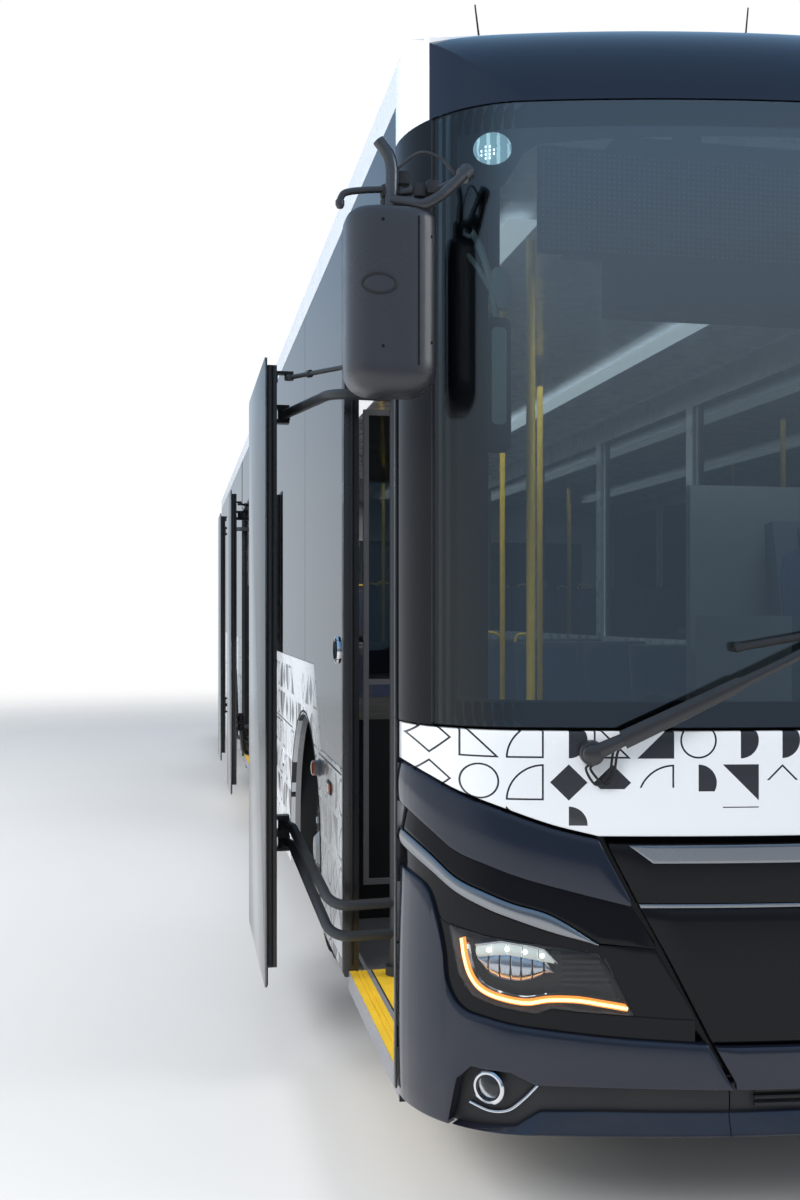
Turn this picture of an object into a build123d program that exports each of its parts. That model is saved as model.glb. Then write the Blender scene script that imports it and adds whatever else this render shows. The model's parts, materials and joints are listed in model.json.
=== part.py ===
from build123d import *
import os
from math import asin, cos, degrees, hypot, radians, sin, sqrt

# Low-entry two-axle city bus, two passenger doors on the kerb side, shown open.
# +X is forward, +Y the driver's side, +Z up; the origin is on the road below the middle.
# All lengths are millimetres and all angles degrees.

os.makedirs("parts", exist_ok=True)

# Body
bus_length = 12200
bus_width = 2550
roof_top = 2990
roof_shoulder = roof_top - 18
gutter_height = roof_top - 90
skirt_bottom = 300
nose_x = bus_length / 2
tail_x = -bus_length / 2
half_width = bus_width / 2
wall = 45
roof_depth = 60
front_radius = 3900
corner_radius = 333
rear_corner_radius = 120
cantrail_radius = 90
rear_depth = 120
rear_wall_skin = 60
fit_gap = 6

# Front mask
screen_bottom = 1240
screen_top = roof_top - 290
screen_edge_x = nose_x - 277
cap_seam_x = nose_x - 285
screen_inset = 3
glass = 8
mask_depth = 60
cap_big_radius = 600
cap_small_radius = 250
cap_turn = 63
panel_depth = 30
bumper_depth = 55
bumper_bottom = 290
front_wall_skin = 25

# Floors
low_floor = 320
floor_plate = 25
high_floor = 800
step_run = 260
step_count = 2
platform_top = 620
platform_back_x = nose_x - 1700
platform_front_x = nose_x - 540
platform_side_y = 150

# Wheels and axles
axle_front_x = nose_x - 2625
axle_rear_x = tail_x + 3450
step_back_x = axle_rear_x + 1150
tyre_radius = 481
tyre_width = 276
hub_height = 480
wheel_plane = 1032.5
inner_wheel_plane = 720
kingpin_y = 880
arch_radius = 590
housing_inner_y = 545
housing_skin = 15
housing_half_length = 605
housing_top = 1095
rim_seat_radius = 288
rim_flange_radius = 299
rim_half_width = 110
rim_skin = 11
rim_well_radius = 262
disc_offset = 150
disc_skin = 13
bolt_circle = 335
bolt_count = 10
nut_radius = 15
hand_holes = 8
hand_hole_radius = 28
hand_hole_circle = 218
bag_radius = 88
bag_from_axle = 330

# Frame under the floor: beams as (x, reach each side)
frame_bottom = 195
rail_y = 440
rail_half = 35
beam_half = 30
high_beam_depth = 75
axle_clear = 245
rail_front_x = nose_x - 400
rail_rear_x = tail_x + 200
tow_front_x = nose_x - 345
tow_rear_x = tail_x + 175
tow_height = 245
tow_eye_radius = 22.5
tow_plate = 25
tow_root = 95
tow_tip = 40
low_beams = ((nose_x - 460, 1100), (nose_x - 1120, 1100), (axle_front_x + 725, 1225), (axle_front_x + 265, 500),
             (axle_front_x - 275, 500), (axle_front_x - 1225, 1225), (axle_front_x - 2175, 1225),
             (axle_rear_x + 3000, 1225), (axle_rear_x + 2200, 1120), (axle_rear_x + 1310, 1120))
high_beams = ((axle_rear_x + 800, 500), (axle_rear_x - 800, 1225), (axle_rear_x - 1750, 1225), (tail_x + 950, 1225),
              (tail_x + 240, 1225))

# Windows
window_bottom = 1300
window_top = roof_top - 190
low_window_bottom = 980
low_window_rear_x = axle_front_x + 605
low_window_slope_x = axle_front_x + 365
pane_gap = 6
pane_rebate = 45
post_width = 70
front_post_x = axle_front_x + 25
bay_post_x = axle_front_x - 1525
rear_post_x = axle_rear_x - 250
engine_post_x = axle_rear_x - 1750

# Doors
door_top = roof_top - 615
front_door_x = (nose_x - 1370, nose_x - 470)
middle_door_x = (axle_rear_x + 1250, axle_rear_x + 2450)
door_step_post_x = middle_door_x[0] + 250
threshold_depth = 150
threshold_inset = 14
leaf_frame = 32
leaf_bottom = 325
leaf_top = door_top - 37
leaf_stile = 52
leaf_openings = ((437, 640), (805, leaf_top - 168))
door_glass_bottom = 255
door_glass_top = door_top - 9
column_radius = 20
column_y = -1115
column_from_edge = 60
arm_radius = 17
rod_radius = 8
upper_arm_height = door_top - 153
rod_height = door_top - 57
lower_arm_heights = ((556, 752), (456, 690))
seat_gap = 0.3
hinge_radius = 6
hinge_plate = 8
hinge_stand = 6.5

# Mirrors
mirror_x = nose_x - 175
mirror_places = ((-1, half_width + 67), (1, half_width + 105))
arm_height = roof_top - 490
foot_height = roof_top - 438
head_low = roof_top - 984
head_high = roof_top - 565
head_width = 212
head_back = 70
head_front = 82
head_bend = 56
head_corner = 34
inside_high = roof_top - 780
inside_foot_angle = 54
foot_angle = 32

# Destination display
sign_z = (roof_top - 760, roof_top - 350)

# Wipers
wiper_pivots = (-882, 60)
wiper_height = screen_bottom - 58

# Roof and rear
roof_unit_x = (nose_x - 5200, nose_x - 2600)
roof_unit_width = 1750
roof_unit_height = 235
hatch_size = 640
hatch_x = (nose_x - 1950, tail_x + 2200)
hatch_lift = 35
hatch_rim = 20
hatch_lip = 18
coaming_top = roof_top + 22
lid_bottom = 480
lid_top = 1330
lid_half_width = 930
lid_depth = 36
rear_window_z = (1520, roof_top - 510)
rear_window_half_width = 930
flap_x = (axle_front_x - 1175, axle_front_x - 915)
flap_z = (640, 900)
flap_skin = 8

nose_centre_x = nose_x - front_radius
corner_y = half_width - corner_radius
corner_reach = front_radius - corner_radius
corner_x = nose_centre_x + sqrt(corner_reach**2 - corner_y**2)
corner_angle = degrees(asin(corner_y / corner_reach))
wall_inner_y = half_width - wall
wall_rear_x = tail_x + rear_depth


def write(name, shape):
    """Write one sub-part, as a compound where it has several solids."""
    solids = list(shape.solids()) if hasattr(shape, "solids") else [s for item in shape for s in item.solids()]
    part = solids[0] if len(solids) == 1 else Compound(children=solids)
    part.label = name
    export_step(part, f"parts/{name}.step")


def arc(cx, cy, radius, start, end):
    at = [(cx + radius * cos(radians(a)), cy + radius * sin(radians(a))) for a in (start, (start + end) / 2, end)]
    return ThreePointArc(*at)


def box(x, y, z):
    """A box from three (low, high) pairs."""
    size = [high - low for low, high in (x, y, z)]
    middle = [(low + high) / 2 for low, high in (x, y, z)]
    return Pos(*middle) * Box(*size)


def rod(start, end, radius):
    """A round bar between two points."""
    start, end = Vector(*start), Vector(*end)
    line = end - start
    return extrude(Plane(origin=start, z_dir=line) * Circle(radius), line.length)


def hinge_barrels(length, fixed_plate, moving_plate):
    """Fixed and moving parts of a hinge on the local Y axis; each plate is its (x, x), (z, z)."""
    third = length / 3
    fixed = Rot(90, 0, 0) * Cylinder(hinge_radius, length)
    fixed = fixed + box(fixed_plate[0], (-length / 2, length / 2), fixed_plate[1])
    fixed = fixed - Box(120, third + 2 * seat_gap, 120)
    moving = Rot(90, 0, 0) * Cylinder(hinge_radius, third)
    moving = moving + box(moving_plate[0], (-third / 2, third / 2), moving_plate[1])
    return fixed, moving


def surface_barrels(length):
    """A hinge whose two plates lie on the outer skin, hinge_stand below the barrel's axis."""
    sunk = (-hinge_stand - 3, 0)
    return hinge_barrels(length, ((1, 26), sunk), ((-26, -1), sunk))


def tube_path(points, radius, bends):
    """A bar along points, with a bend radius at each inner point."""
    path = FilletPolyline(*points, radius=bends)
    return sweep(Plane(origin=path @ 0, z_dir=path % 0) * Circle(radius), path=path)


def plan(inset):
    """The body's outline from above, moved in by inset."""
    front, corner = front_radius - inset, corner_radius - inset
    side, back = half_width - inset, tail_x + inset
    rear = max(rear_corner_radius - inset, 20)
    turn = corner_angle
    tip = (nose_centre_x + front * cos(radians(turn)), front * sin(radians(turn)))
    edges = [
        Line((back + rear, side), (corner_x, side)),
        arc(corner_x, corner_y, corner, 90, turn),
        ThreePointArc(tip, (nose_centre_x + front, 0), (tip[0], -tip[1])),
        arc(corner_x, -corner_y, corner, -turn, -90),
        Line((corner_x, -side), (back + rear, -side)),
        arc(back + rear, -side + rear, rear, -90, -180),
        Line((back, -side + rear), (back, side - rear)),
        arc(back + rear, side - rear, rear, 180, 90),
    ]
    return make_face(edges)


def prism(inset, low, high):
    return extrude(Plane.XY.offset(low) * plan(inset), high - low)


def skin(outer, inner, low, high):
    """The band between two insets of the outline."""
    return prism(outer, low, high) - prism(inner, low - 1, high + 1)


def front_view(points, x_low=nose_x - 600):
    """A prism along X from an outline of (y, z) points."""
    return extrude(Plane.YZ.offset(x_low) * make_face(Polyline(*points, close=True)), nose_x + 100 - x_low)


def side_view(points, y_low, y_high):
    """A prism along Y from an outline of (x, z) points."""
    flat = Plane(origin=(0, y_low, 0), x_dir=(1, 0, 0), z_dir=(0, -1, 0))
    return extrude(flat * make_face(Polyline(*points, close=True)), -(y_high - y_low))


def cross_section(inset):
    """The body's section from the front, with its rounded cantrails and crowned roof."""
    side, top, shoulder = half_width - inset, roof_top - inset, roof_shoulder - inset
    radius = cantrail_radius - inset / 2
    edges = [
        Line((-side, 0), (-side, shoulder - radius)),
        arc(-side + radius, shoulder - radius, radius, 180, 90),
        ThreePointArc((-side + radius, shoulder), (0, top), (side - radius, shoulder)),
        arc(side - radius, shoulder - radius, radius, 90, 0),
        Line((side, shoulder - radius), (side, 0)),
        Line((side, 0), (-side, 0)),
    ]
    return extrude(Plane.YZ.offset(tail_x - 10) * make_face(edges), bus_length + 20)


def cap_form(inset):
    """The turned form that rounds the front edge of the roof."""
    big, small = cap_big_radius - inset, cap_small_radius - inset
    bend = radians(cap_turn)
    first_x = front_radius - cap_small_radius
    second_x = first_x + (cap_small_radius - cap_big_radius) * cos(bend)
    second_z = screen_top + (cap_small_radius - cap_big_radius) * sin(bend)
    start = (first_x + small, screen_top)
    knee = (first_x + small * cos(bend), screen_top + small * sin(bend))
    half = radians((cap_turn + 90) / 2)
    crest = (second_x, second_z + big)
    edges = [
        Line((0, 100), (first_x + small, 100)),
        Line((first_x + small, 100), start),
        ThreePointArc(start, (first_x + small * cos(bend / 2), screen_top + small * sin(bend / 2)), knee),
        ThreePointArc(knee, (second_x + big * cos(half), second_z + big * sin(half)), crest),
        Line(crest, (0, second_z + big + 40)),
        Line((0, second_z + big + 40), (0, 100)),
    ]
    face = Plane.XZ * make_face(edges)
    return Pos(nose_centre_x, 0, 0) * revolve(face, Axis.Z, 360)


def body_form(inset, low, high):
    """The closed outer form of the body, moved in by inset."""
    return prism(inset, low, high) & cross_section(inset)


def rounded_body(inset, low):
    """The body's form above low, with its front edge rounded into the roof."""
    form = body_form(inset, low, roof_top + 10)
    ahead = box((cap_seam_x - 700, nose_x + 10), (-half_width, half_width), (screen_top, roof_top + 20))
    return form - (ahead - cap_form(inset))


def hatch_hinge(middle):
    """Place of a roof hatch's hinge, ahead of its coaming."""
    return Pos(middle + hatch_size / 2 + hatch_rim + hatch_lip + 10, 0, coaming_top + seat_gap + hinge_plate / 2)


def hatch_barrels():
    """The hatch hinge: its block stands on the roof, its moving plate runs into the lid."""
    back = hatch_rim + hatch_lip
    fixed_plate = (-back, hinge_radius), (-50, -hinge_plate / 2 - seat_gap)
    return hinge_barrels(240, fixed_plate, ((-back, 0), (-hinge_plate / 2, hinge_plate / 2)))


def make_roof():
    """White roof skin with the front corners above the pillars, and the dark front cap."""
    shell = rounded_body(0, screen_top) - rounded_body(roof_depth, screen_top - 10)
    main = shell & box((wall_rear_x, cap_seam_x), (-half_width, half_width), (gutter_height, roof_top + 10))
    corner_box = box((corner_x, cap_seam_x), (-half_width, half_width), (screen_top, gutter_height))
    main = main + (skin(0, roof_depth, screen_top, gutter_height) & corner_box)
    tail = body_form(0, gutter_height, roof_top + 10) & box(
        (tail_x, wall_rear_x), (-half_width, half_width), (gutter_height, roof_top + 10))
    main = main + tail
    for middle in hatch_x:
        half = hatch_size / 2
        edge = half + hatch_rim
        rim = box((middle - edge, middle + edge), (-edge, edge), (roof_top - 30, coaming_top))
        main = main + rim
        main = main - box((middle - half, middle + half), (-half, half), (roof_top - 200, roof_top + 50))
        main = main + hatch_hinge(middle) * hatch_barrels()[0]
    write("roof_panel", main)
    cap = shell & box((cap_seam_x, nose_x), (-half_width, half_width), (screen_top, roof_top + 10))
    write("roof_front_cap", cap)


def windows(side):
    """Panes of one side as (rear x, front x, low edge z); the kerb side leaves room for the doors."""
    if side < 0:
        return [
            (front_post_x, front_door_x[0] - post_width, low_window_bottom),
            (bay_post_x, front_post_x, window_bottom),
            (middle_door_x[1] + post_width, bay_post_x, window_bottom),
            (rear_post_x, middle_door_x[0] - post_width, window_bottom),
            (engine_post_x, rear_post_x, window_bottom),
            (wall_rear_x + 30, engine_post_x, window_bottom),
        ]
    return [
        (front_post_x, front_door_x[0] - post_width, window_bottom),
        (front_door_x[0] - post_width, corner_x, low_window_bottom),
        (bay_post_x, front_post_x, window_bottom),
        ((bay_post_x + door_step_post_x) / 2, bay_post_x, window_bottom),
        (door_step_post_x, (bay_post_x + door_step_post_x) / 2, window_bottom),
        (rear_post_x, door_step_post_x, window_bottom),
        (engine_post_x, rear_post_x, window_bottom),
        (wall_rear_x + 30, engine_post_x, window_bottom),
    ]


def pane_outline(side, rear, front, low, inset):
    """Outline of a pane in side view; the kerb-side front pane drops in a slope to its low edge."""
    rear, front, low, top = rear + inset, front - inset, low + inset, window_top - inset
    if side < 0 and low < window_bottom:
        step = window_bottom + inset
        return [
            (rear, step), (low_window_slope_x + inset, step), (low_window_rear_x + inset, low),
            (front, low), (front, top), (rear, top),
        ]
    return [(rear, low), (front, low), (front, top), (rear, top)]


def door_header_panes():
    """Dark panes over the two doors, as (rear x, front x)."""
    return [(front_door_x[0] - post_width, corner_x), (middle_door_x[0] - post_width, middle_door_x[1] + post_width)]


def make_side_wall(side):
    """Side wall with its flush glazing rebate, window and door openings and wheel arches."""
    outer, inner = side * half_width, side * wall_inner_y
    span = (min(outer, inner), max(outer, inner))
    panel = box((wall_rear_x, corner_x), span, (skirt_bottom, gutter_height))
    rebate = (min(outer, outer - side * glass), max(outer, outer - side * glass))
    for rear, front, low in windows(side):
        panel = panel - side_view(pane_outline(side, rear, front, low, 0), rebate[0], rebate[1])
        panel = panel - side_view(pane_outline(side, rear, front, low, pane_rebate), span[0] - 1, span[1] + 1)
    for axle in (axle_front_x, axle_rear_x):
        arch = Pos(axle, 0, hub_height) * Rot(90, 0, 0) * Cylinder(arch_radius, 2 * bus_width)
        lower = box((axle - arch_radius, axle + arch_radius), (-bus_width, bus_width), (0, hub_height))
        keep = box((axle - 2000, axle + 2000), (min(0, side * bus_width), max(0, side * bus_width)), (0, roof_top))
        panel = panel - ((arch + lower) & keep)
    if side < 0:
        for rear, front in (front_door_x, middle_door_x):
            panel = panel - box((rear, front), (span[0] - 1, span[1] + 1), (skirt_bottom - 10, door_top))
        for rear, front in door_header_panes():
            panel = panel - box((rear, front), rebate, (door_top + 20, window_top))
        panel = panel - box(flap_x, (-half_width - 1, -half_width + wall - 9), flap_z)
        panel = panel + flap_hinge() * surface_barrels(90)[0]
        neck = Pos((flap_x[0] + flap_x[1]) / 2, -half_width + 24, (flap_z[0] + flap_z[1]) / 2)
        panel = panel + neck * Rot(90, 0, 0) * Cylinder(42, 26)
    name = "side_wall_right" if side < 0 else "side_wall_left"
    write(name, panel)

    panes = []
    glass_span = (min(outer, outer - side * glass), max(outer, outer - side * glass))
    for rear, front, low in windows(side):
        panes.append(side_view(pane_outline(side, rear, front, low, pane_gap / 2), *glass_span))
    if side < 0:
        for rear, front in door_header_panes():
            edge = pane_gap / 2
            panes.append(box((rear + edge, front - edge), glass_span, (door_top + 20 + edge, window_top - edge)))
    return panes


def make_rear():
    """Rear wall with its window, engine opening and lamp recesses, and what closes them."""
    ring = prism(0, skirt_bottom, gutter_height) & box(
        (tail_x, wall_rear_x), (-half_width, half_width), (skirt_bottom, gutter_height)
    )
    inside = box((tail_x + rear_wall_skin, wall_rear_x + 1), (-wall_inner_y, wall_inner_y), (0, gutter_height + 1))
    ring = ring - inside
    opening = lid_half_width + fit_gap
    through = (tail_x - 1, wall_rear_x + 1)
    ring = ring - box(through, (-opening, opening), (lid_bottom - fit_gap, lid_top + fit_gap))
    half = rear_window_half_width
    ring = ring - box((tail_x - 1, tail_x + glass), (-half, half), rear_window_z)
    rebate = pane_rebate
    ring = ring - box(through, (rebate - half, half - rebate), (rear_window_z[0] + rebate, rear_window_z[1] - rebate))
    lamps = []
    for side in (-1, 1):
        for low, high in ((700, 1250), (roof_top - 430, roof_top - 310)):
            y = sorted((side * (half_width - 265), side * (half_width - 125)))
            ring = ring - box((tail_x - 1, tail_x + 30), y, (low, high))
            lamps.append(box((tail_x + 2, tail_x + 30), (y[0] + 2, y[1] - 2), (low + 2, high - 2)))
    for y in (-230, 230):
        hole = Pos(tail_x + 12, y, 390) * Rot(0, 90, 0) * Cylinder(3.5, 26)
        ring = ring - hole
    lid = box((tail_x + 1, tail_x + 1 + lid_depth), (-lid_half_width, lid_half_width), (lid_bottom, lid_top))
    for row in range(7):
        low = lid_bottom + 330 + row * 60
        lid = lid - box((tail_x - 1, tail_x + 50), (-640, 640), (low, low + 26))
    for y in (-600, 600):
        fixed, moving = surface_barrels(120)
        place = Pos(tail_x - hinge_stand, y, lid_top + fit_gap / 2) * Rot(0, -90, 0)
        ring = ring + place * fixed
        lid = lid + place * moving
    write("engine_lid", lid)
    write("rear_wall", ring)
    edge = pane_gap / 2
    pane_z = rear_window_z[0] + edge, rear_window_z[1] - edge
    pane = box((tail_x, tail_x + glass), (edge - half, half - edge), pane_z)

    return pane, lamps


def make_front_frame():
    """Pillars and the rim behind the windscreen, and the wall behind the panel and bumper."""
    posts = skin(0, mask_depth, screen_bottom, screen_top)
    posts = posts & box((corner_x, screen_edge_x), (-half_width, half_width), (0, roof_top))
    rim = skin(screen_inset + glass, mask_depth, screen_bottom, screen_top)
    rim = rim & box((screen_edge_x, nose_x), (-half_width, half_width), (0, roof_top))
    window = box((screen_edge_x + 45, nose_x), (-half_width, half_width), (screen_bottom + 60, screen_top - 60))
    rim = rim - window
    front = skin(bumper_depth, bumper_depth + front_wall_skin, low_floor, screen_bottom)
    front = front & box((corner_x, nose_x), (-half_width, half_width), (0, roof_top))
    write("front_frame", [posts + rim, front])

    pane = skin(screen_inset, screen_inset + glass, screen_bottom + 3, screen_top - 3)
    pane = pane & box((screen_edge_x + 3, nose_x), (-half_width, half_width), (0, roof_top))
    write("windscreen", pane)


# Outlines on the front, as (distance from the middle, height), from the side to the middle
bumper_top_line = [(1275, 1134), (1266, 1130), (1221, 1106), (1085, 1045), (851, 983)]
corner_joint_line = [(851, 983), (715, 810), (542, 414), (620, 290)]
accent_line = [(1262, 946), (1147, 880), (996, 807), (869, 744)]
accent_half_height = 9
accent_depth = 4
lamp_outline = [(1194, 765), (1085, 746), (862, 705), (783, 571), (1085, 583), (1147, 598), (1177, 686)]
black_field = [(1234, 885), (1206, 700), (1168, 588), (1041, 551), (772, 509), (716, 520), (840, 870), (1147, 990)]
fog_centre = (1112, 393)
fog_radius = 40
valance_outline = [(1190, 440), (1150, 335), (620, 335), (552, 400), (560, 436)]


def mirror_points(points, side):
    return [(side * y, z) for y, z in points]


def band_outline(points, half):
    """Outline of a band that follows points, half above and half below them."""
    return [(y, z + half) for y, z in points] + [(y, z - half) for y, z in reversed(points)]


def make_front_skins():
    """White panel, bumper corners and centre, cut from bands of the body's outline."""
    top = bumper_top_line[:]
    whole = [(y, z + fit_gap) for y, z in top] + [(-y, z + fit_gap) for y, z in reversed(top)]
    outline = [(half_width, screen_bottom - fit_gap)] + whole + [(-half_width, screen_bottom - fit_gap)]
    panel = skin(2, 2 + panel_depth, 900, screen_bottom) & front_view(outline)
    panel = panel & box((corner_x, nose_x), (-half_width, half_width), (0, roof_top))
    write("front_panel", panel)

    shell = skin(0, bumper_depth, bumper_bottom, 1200)
    recess = skin(0, 12, bumper_bottom, 1200)
    deep = skin(0, 32, bumper_bottom, 1200)
    groove = skin(0, accent_depth, bumper_bottom, 1200)
    corners, lamps, lenses, fogs = [], [], [], []
    for side in (-1, 1):
        outline = top + corner_joint_line[1:] + [(1275, bumper_bottom)]
        corner = shell & front_view(mirror_points(outline, side))
        corner = corner & box((corner_x, nose_x), (-half_width, half_width), (0, roof_top))
        corner = corner - (recess & front_view(mirror_points(black_field, side)))
        corner = corner - (deep & front_view(mirror_points(valance_outline, side)))
        corner = corner - (groove & front_view(mirror_points(band_outline(accent_line, accent_half_height), side)))
        corner = corner - front_view(mirror_points(lamp_outline, side))
        fog_axis = Pos(nose_x - 175, side * fog_centre[0], fog_centre[1]) * Rot(0, 0, side * 50) * Rot(0, 90, 0)
        corner = corner - fog_axis * Cylinder(fog_radius + 1, 160)
        corners.append(corner)
        lamp = front_view(mirror_points(lamp_outline, side))
        bowl = [(y + (12 if y < 1000 else -8), z + (12 if z < 640 else -12)) for y, z in lamp_outline]
        tray = (skin(22, bumper_depth, 500, 800) & lamp) - front_view(mirror_points(bowl, side))
        back = skin(bumper_depth - 8, bumper_depth, 500, 800) & lamp
        lamps.append((tray + back) & box((corner_x, nose_x), (-half_width, half_width), (0, roof_top)))
        lens = skin(14, 22 - seat_gap, 500, 800) & lamp
        lenses.append(lens & box((corner_x, nose_x), (-half_width, half_width), (0, roof_top)))
        fogs.append(fog_axis * Cylinder(fog_radius, 60))
    write("bumper_corners", corners)
    write("lamps", lamps + lenses + fogs + tail_lamps)

    joint = [(y - fit_gap, z) for y, z in corner_joint_line]
    outline = [(-y, z) for y, z in joint] + list(reversed(joint))
    centre = shell & front_view(outline)
    lower = skin(0, 14, bumper_bottom, 1200) & front_view([(-560, 414), (-700, 800), (700, 800), (560, 414)])
    centre = centre - lower
    grille = skin(0, 32, bumper_bottom, 1200) & front_view([(-500, 345), (-480, 400), (480, 400), (500, 345)])
    centre = centre - grille
    write("bumper_centre", centre)


def make_floor():
    """Low floor, two steps and raised rear floor, with the driver's platform."""
    rise = (high_floor - low_floor) / step_count
    top = [(nose_x - 100, low_floor), (step_back_x, low_floor)]
    under = [(nose_x - 100, low_floor - floor_plate), (step_back_x - floor_plate, low_floor - floor_plate)]
    for step in range(step_count):
        x = step_back_x - step * step_run
        z = low_floor + (step + 1) * rise
        ahead = x - step_run
        top += [(x, z)] + ([(ahead, z)] if step < step_count - 1 else [])
        if step < step_count - 1:
            under += [(x - floor_plate, z - floor_plate), (ahead - floor_plate, z - floor_plate)]
        else:
            under += [(x - floor_plate, z - floor_plate)]
    top.append((tail_x + rear_wall_skin, high_floor))
    under.append((tail_x + rear_wall_skin, high_floor - floor_plate))
    plate = side_view(top + list(reversed(under)), -wall_inner_y, wall_inner_y)
    plate = plate & prism(bumper_depth + front_wall_skin, 0, roof_top)
    for axle in (axle_front_x, axle_rear_x):
        for side in (-1, 1):
            y = sorted((side * housing_inner_y, side * (wall_inner_y + 5)))
            gap = box((axle - housing_half_length, axle + housing_half_length), y, (0, 1500))
            plate = plate - gap
    inner_edge = -half_width + threshold_depth
    for rear, front in (front_door_x, middle_door_x):
        plate = plate - box((rear, front), (-half_width, inner_edge), (0, low_floor + 1))
    platform = box((platform_back_x, platform_front_x), (platform_side_y, wall_inner_y), (low_floor, platform_top))
    under_x = (platform_back_x + 20, platform_front_x - 20)
    platform = platform - box(under_x, (platform_side_y + 20, wall_inner_y - 20), (0, platform_top - 20))
    write("cabin_floor", [plate, platform])

    sills = []
    for rear, front in (front_door_x, middle_door_x):
        sill = box((rear, front), (-half_width + threshold_inset, inner_edge), (255, low_floor))
        for groove in range(2):
            y = -half_width + threshold_inset + 22 + groove * 16
            sill = sill - box((rear - 1, front + 1), (y, y + 6), (low_floor - 3, low_floor + 1))
        sills.append(sill)
    write("door_thresholds", sills)


def tow_lug(x, y, toward, top):
    """A plate with a towing eye, its tip towards +X or -X."""
    reach = sorted((x - tow_root * toward, x + tow_tip * toward))
    lug = box(reach, (y - tow_plate / 2, y + tow_plate / 2), (frame_bottom + 10, top))
    return lug - Pos(x, y, tow_height) * Rot(90, 0, 0) * Cylinder(tow_eye_radius, 2 * tow_plate)


def make_chassis():
    """Welded tube frame: low under the entrance floor, high over the rear axle and engine."""
    low, deck = frame_bottom, low_floor - floor_plate
    high = high_floor - floor_plate
    under = high - high_beam_depth
    drop_x = step_back_x - step_count * step_run - floor_plate - 5
    ahead, middle, rear = [], [], []
    for y in (-rail_y, rail_y):
        side = (y - rail_half, y + rail_half)
        ahead.append(box((axle_front_x + axle_clear, rail_front_x), side, (low, deck)))
        ahead.append(tow_lug(tow_front_x, y, 1, deck))
        middle.append(box((drop_x, axle_front_x - axle_clear), side, (low, deck)))
        middle.append(box((drop_x - 80, drop_x), side, (low, under)))
        rear.append(box((rail_rear_x, high_beams[0][0] + beam_half), side, (under, high)))
        rear.append(tow_lug(tow_rear_x, y, -1, under + 5))
    for x, reach in low_beams:
        beams = ahead if x > axle_front_x else middle
        beams.append(box((x - beam_half, x + beam_half), (-reach, reach), (low, deck)))
    for x, reach in high_beams:
        rear.append(box((x - beam_half, x + beam_half), (-reach, reach), (under, high)))
    write("chassis_frame", [ahead[0].fuse(*ahead[1:]), middle[0].fuse(*middle[1:])])
    write("chassis_rear", rear[0].fuse(*rear[1:]))


def make_housings():
    """Open-bottomed boxes over the four wheels."""
    shells = []
    for axle in (axle_front_x, axle_rear_x):
        for side in (-1, 1):
            y = sorted((side * housing_inner_y, side * wall_inner_y))
            low = low_floor - floor_plate
            outer = box((axle - housing_half_length, axle + housing_half_length), y, (low, housing_top))
            inner_y = sorted((side * (housing_inner_y + housing_skin), side * (wall_inner_y + 1)))
            inside = box(
                (axle - housing_half_length + housing_skin, axle + housing_half_length - housing_skin),
                inner_y, (low - 1, housing_top - housing_skin),
            )
            shell = outer - inside
            slot_top, slot_half = (545, 60) if axle == axle_front_x else (hub_height + 90, 90)
            shell = shell - box((axle - slot_half, axle + slot_half), (-housing_inner_y - 60, housing_inner_y + 60),
                                (low - 1, slot_top))
            shells.append(shell)
    write("wheel_housings", shells)


def wheel_section(flip):
    """Half section of a rim and its dished disc; flip = 1 dishes the disc outwards."""
    w, seat, flange, well = rim_half_width, rim_seat_radius - seat_gap, rim_flange_radius, rim_well_radius
    outer = [(-w, flange), (-w + 7, flange), (-w + 7, seat), (-62, seat - 4), (-38, well), (38, well),
             (62, seat - 4), (w - 7, seat), (w - 7, flange), (w, flange)]
    inner = [(w, seat - rim_skin), (66, seat - 4 - rim_skin), (44, well - rim_skin), (-44, well - rim_skin),
             (-66, seat - 4 - rim_skin), (-w, seat - rim_skin)]
    face, root, thick = disc_offset * flip, 25 * flip, disc_skin * flip
    disc = [(root, well - rim_skin / 2), (root + thick, well - rim_skin / 2), (face, 190), (face, 60),
            (face - thick, 60), (face - thick, 178)]
    return make_face(Polyline(*outer, *inner, close=True)) + make_face(Polyline(*disc, close=True))


def turned(face, plane_y, side):
    """Turn a (distance outboard, radius) section about the wheel's axis."""
    plane = Plane(origin=(0, 0, 0), x_dir=(0, side, 0), z_dir=(side, 0, 0))
    return Pos(0, side * plane_y, 0) * revolve(plane * face, Axis.Y, 360)


def make_tyre(plane_y, side):
    half, shoulder = tyre_width / 2, tyre_radius - 14
    bore, bead, heel = rim_seat_radius, rim_half_width - 8, rim_flange_radius + 2
    ring = make_face([
        Line((-bead, bore), (-bead, heel)),
        ThreePointArc((-bead, heel), (-half, 385), (-half + 12, shoulder)),
        ThreePointArc((-half + 12, shoulder), (0, tyre_radius), (half - 12, shoulder)),
        ThreePointArc((half - 12, shoulder), (half, 385), (bead, heel)),
        Line((bead, heel), (bead, bore)),
        Line((bead, bore), (-bead, bore)),
    ])
    return turned(ring, plane_y, side)


def add_round(wheel, side, radius, plane_y, size, length, count, cut):
    """Cut or add round bars parallel to the axle, spaced on a circle."""
    bars = []
    for index in range(count):
        turn = Rot(0, 360 / count * index, 0)
        bars.append(turn * Pos(radius, side * plane_y, 0) * Rot(90, 0, 0) * Cylinder(size, length))
    return wheel - bars if cut else wheel + bars


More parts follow.
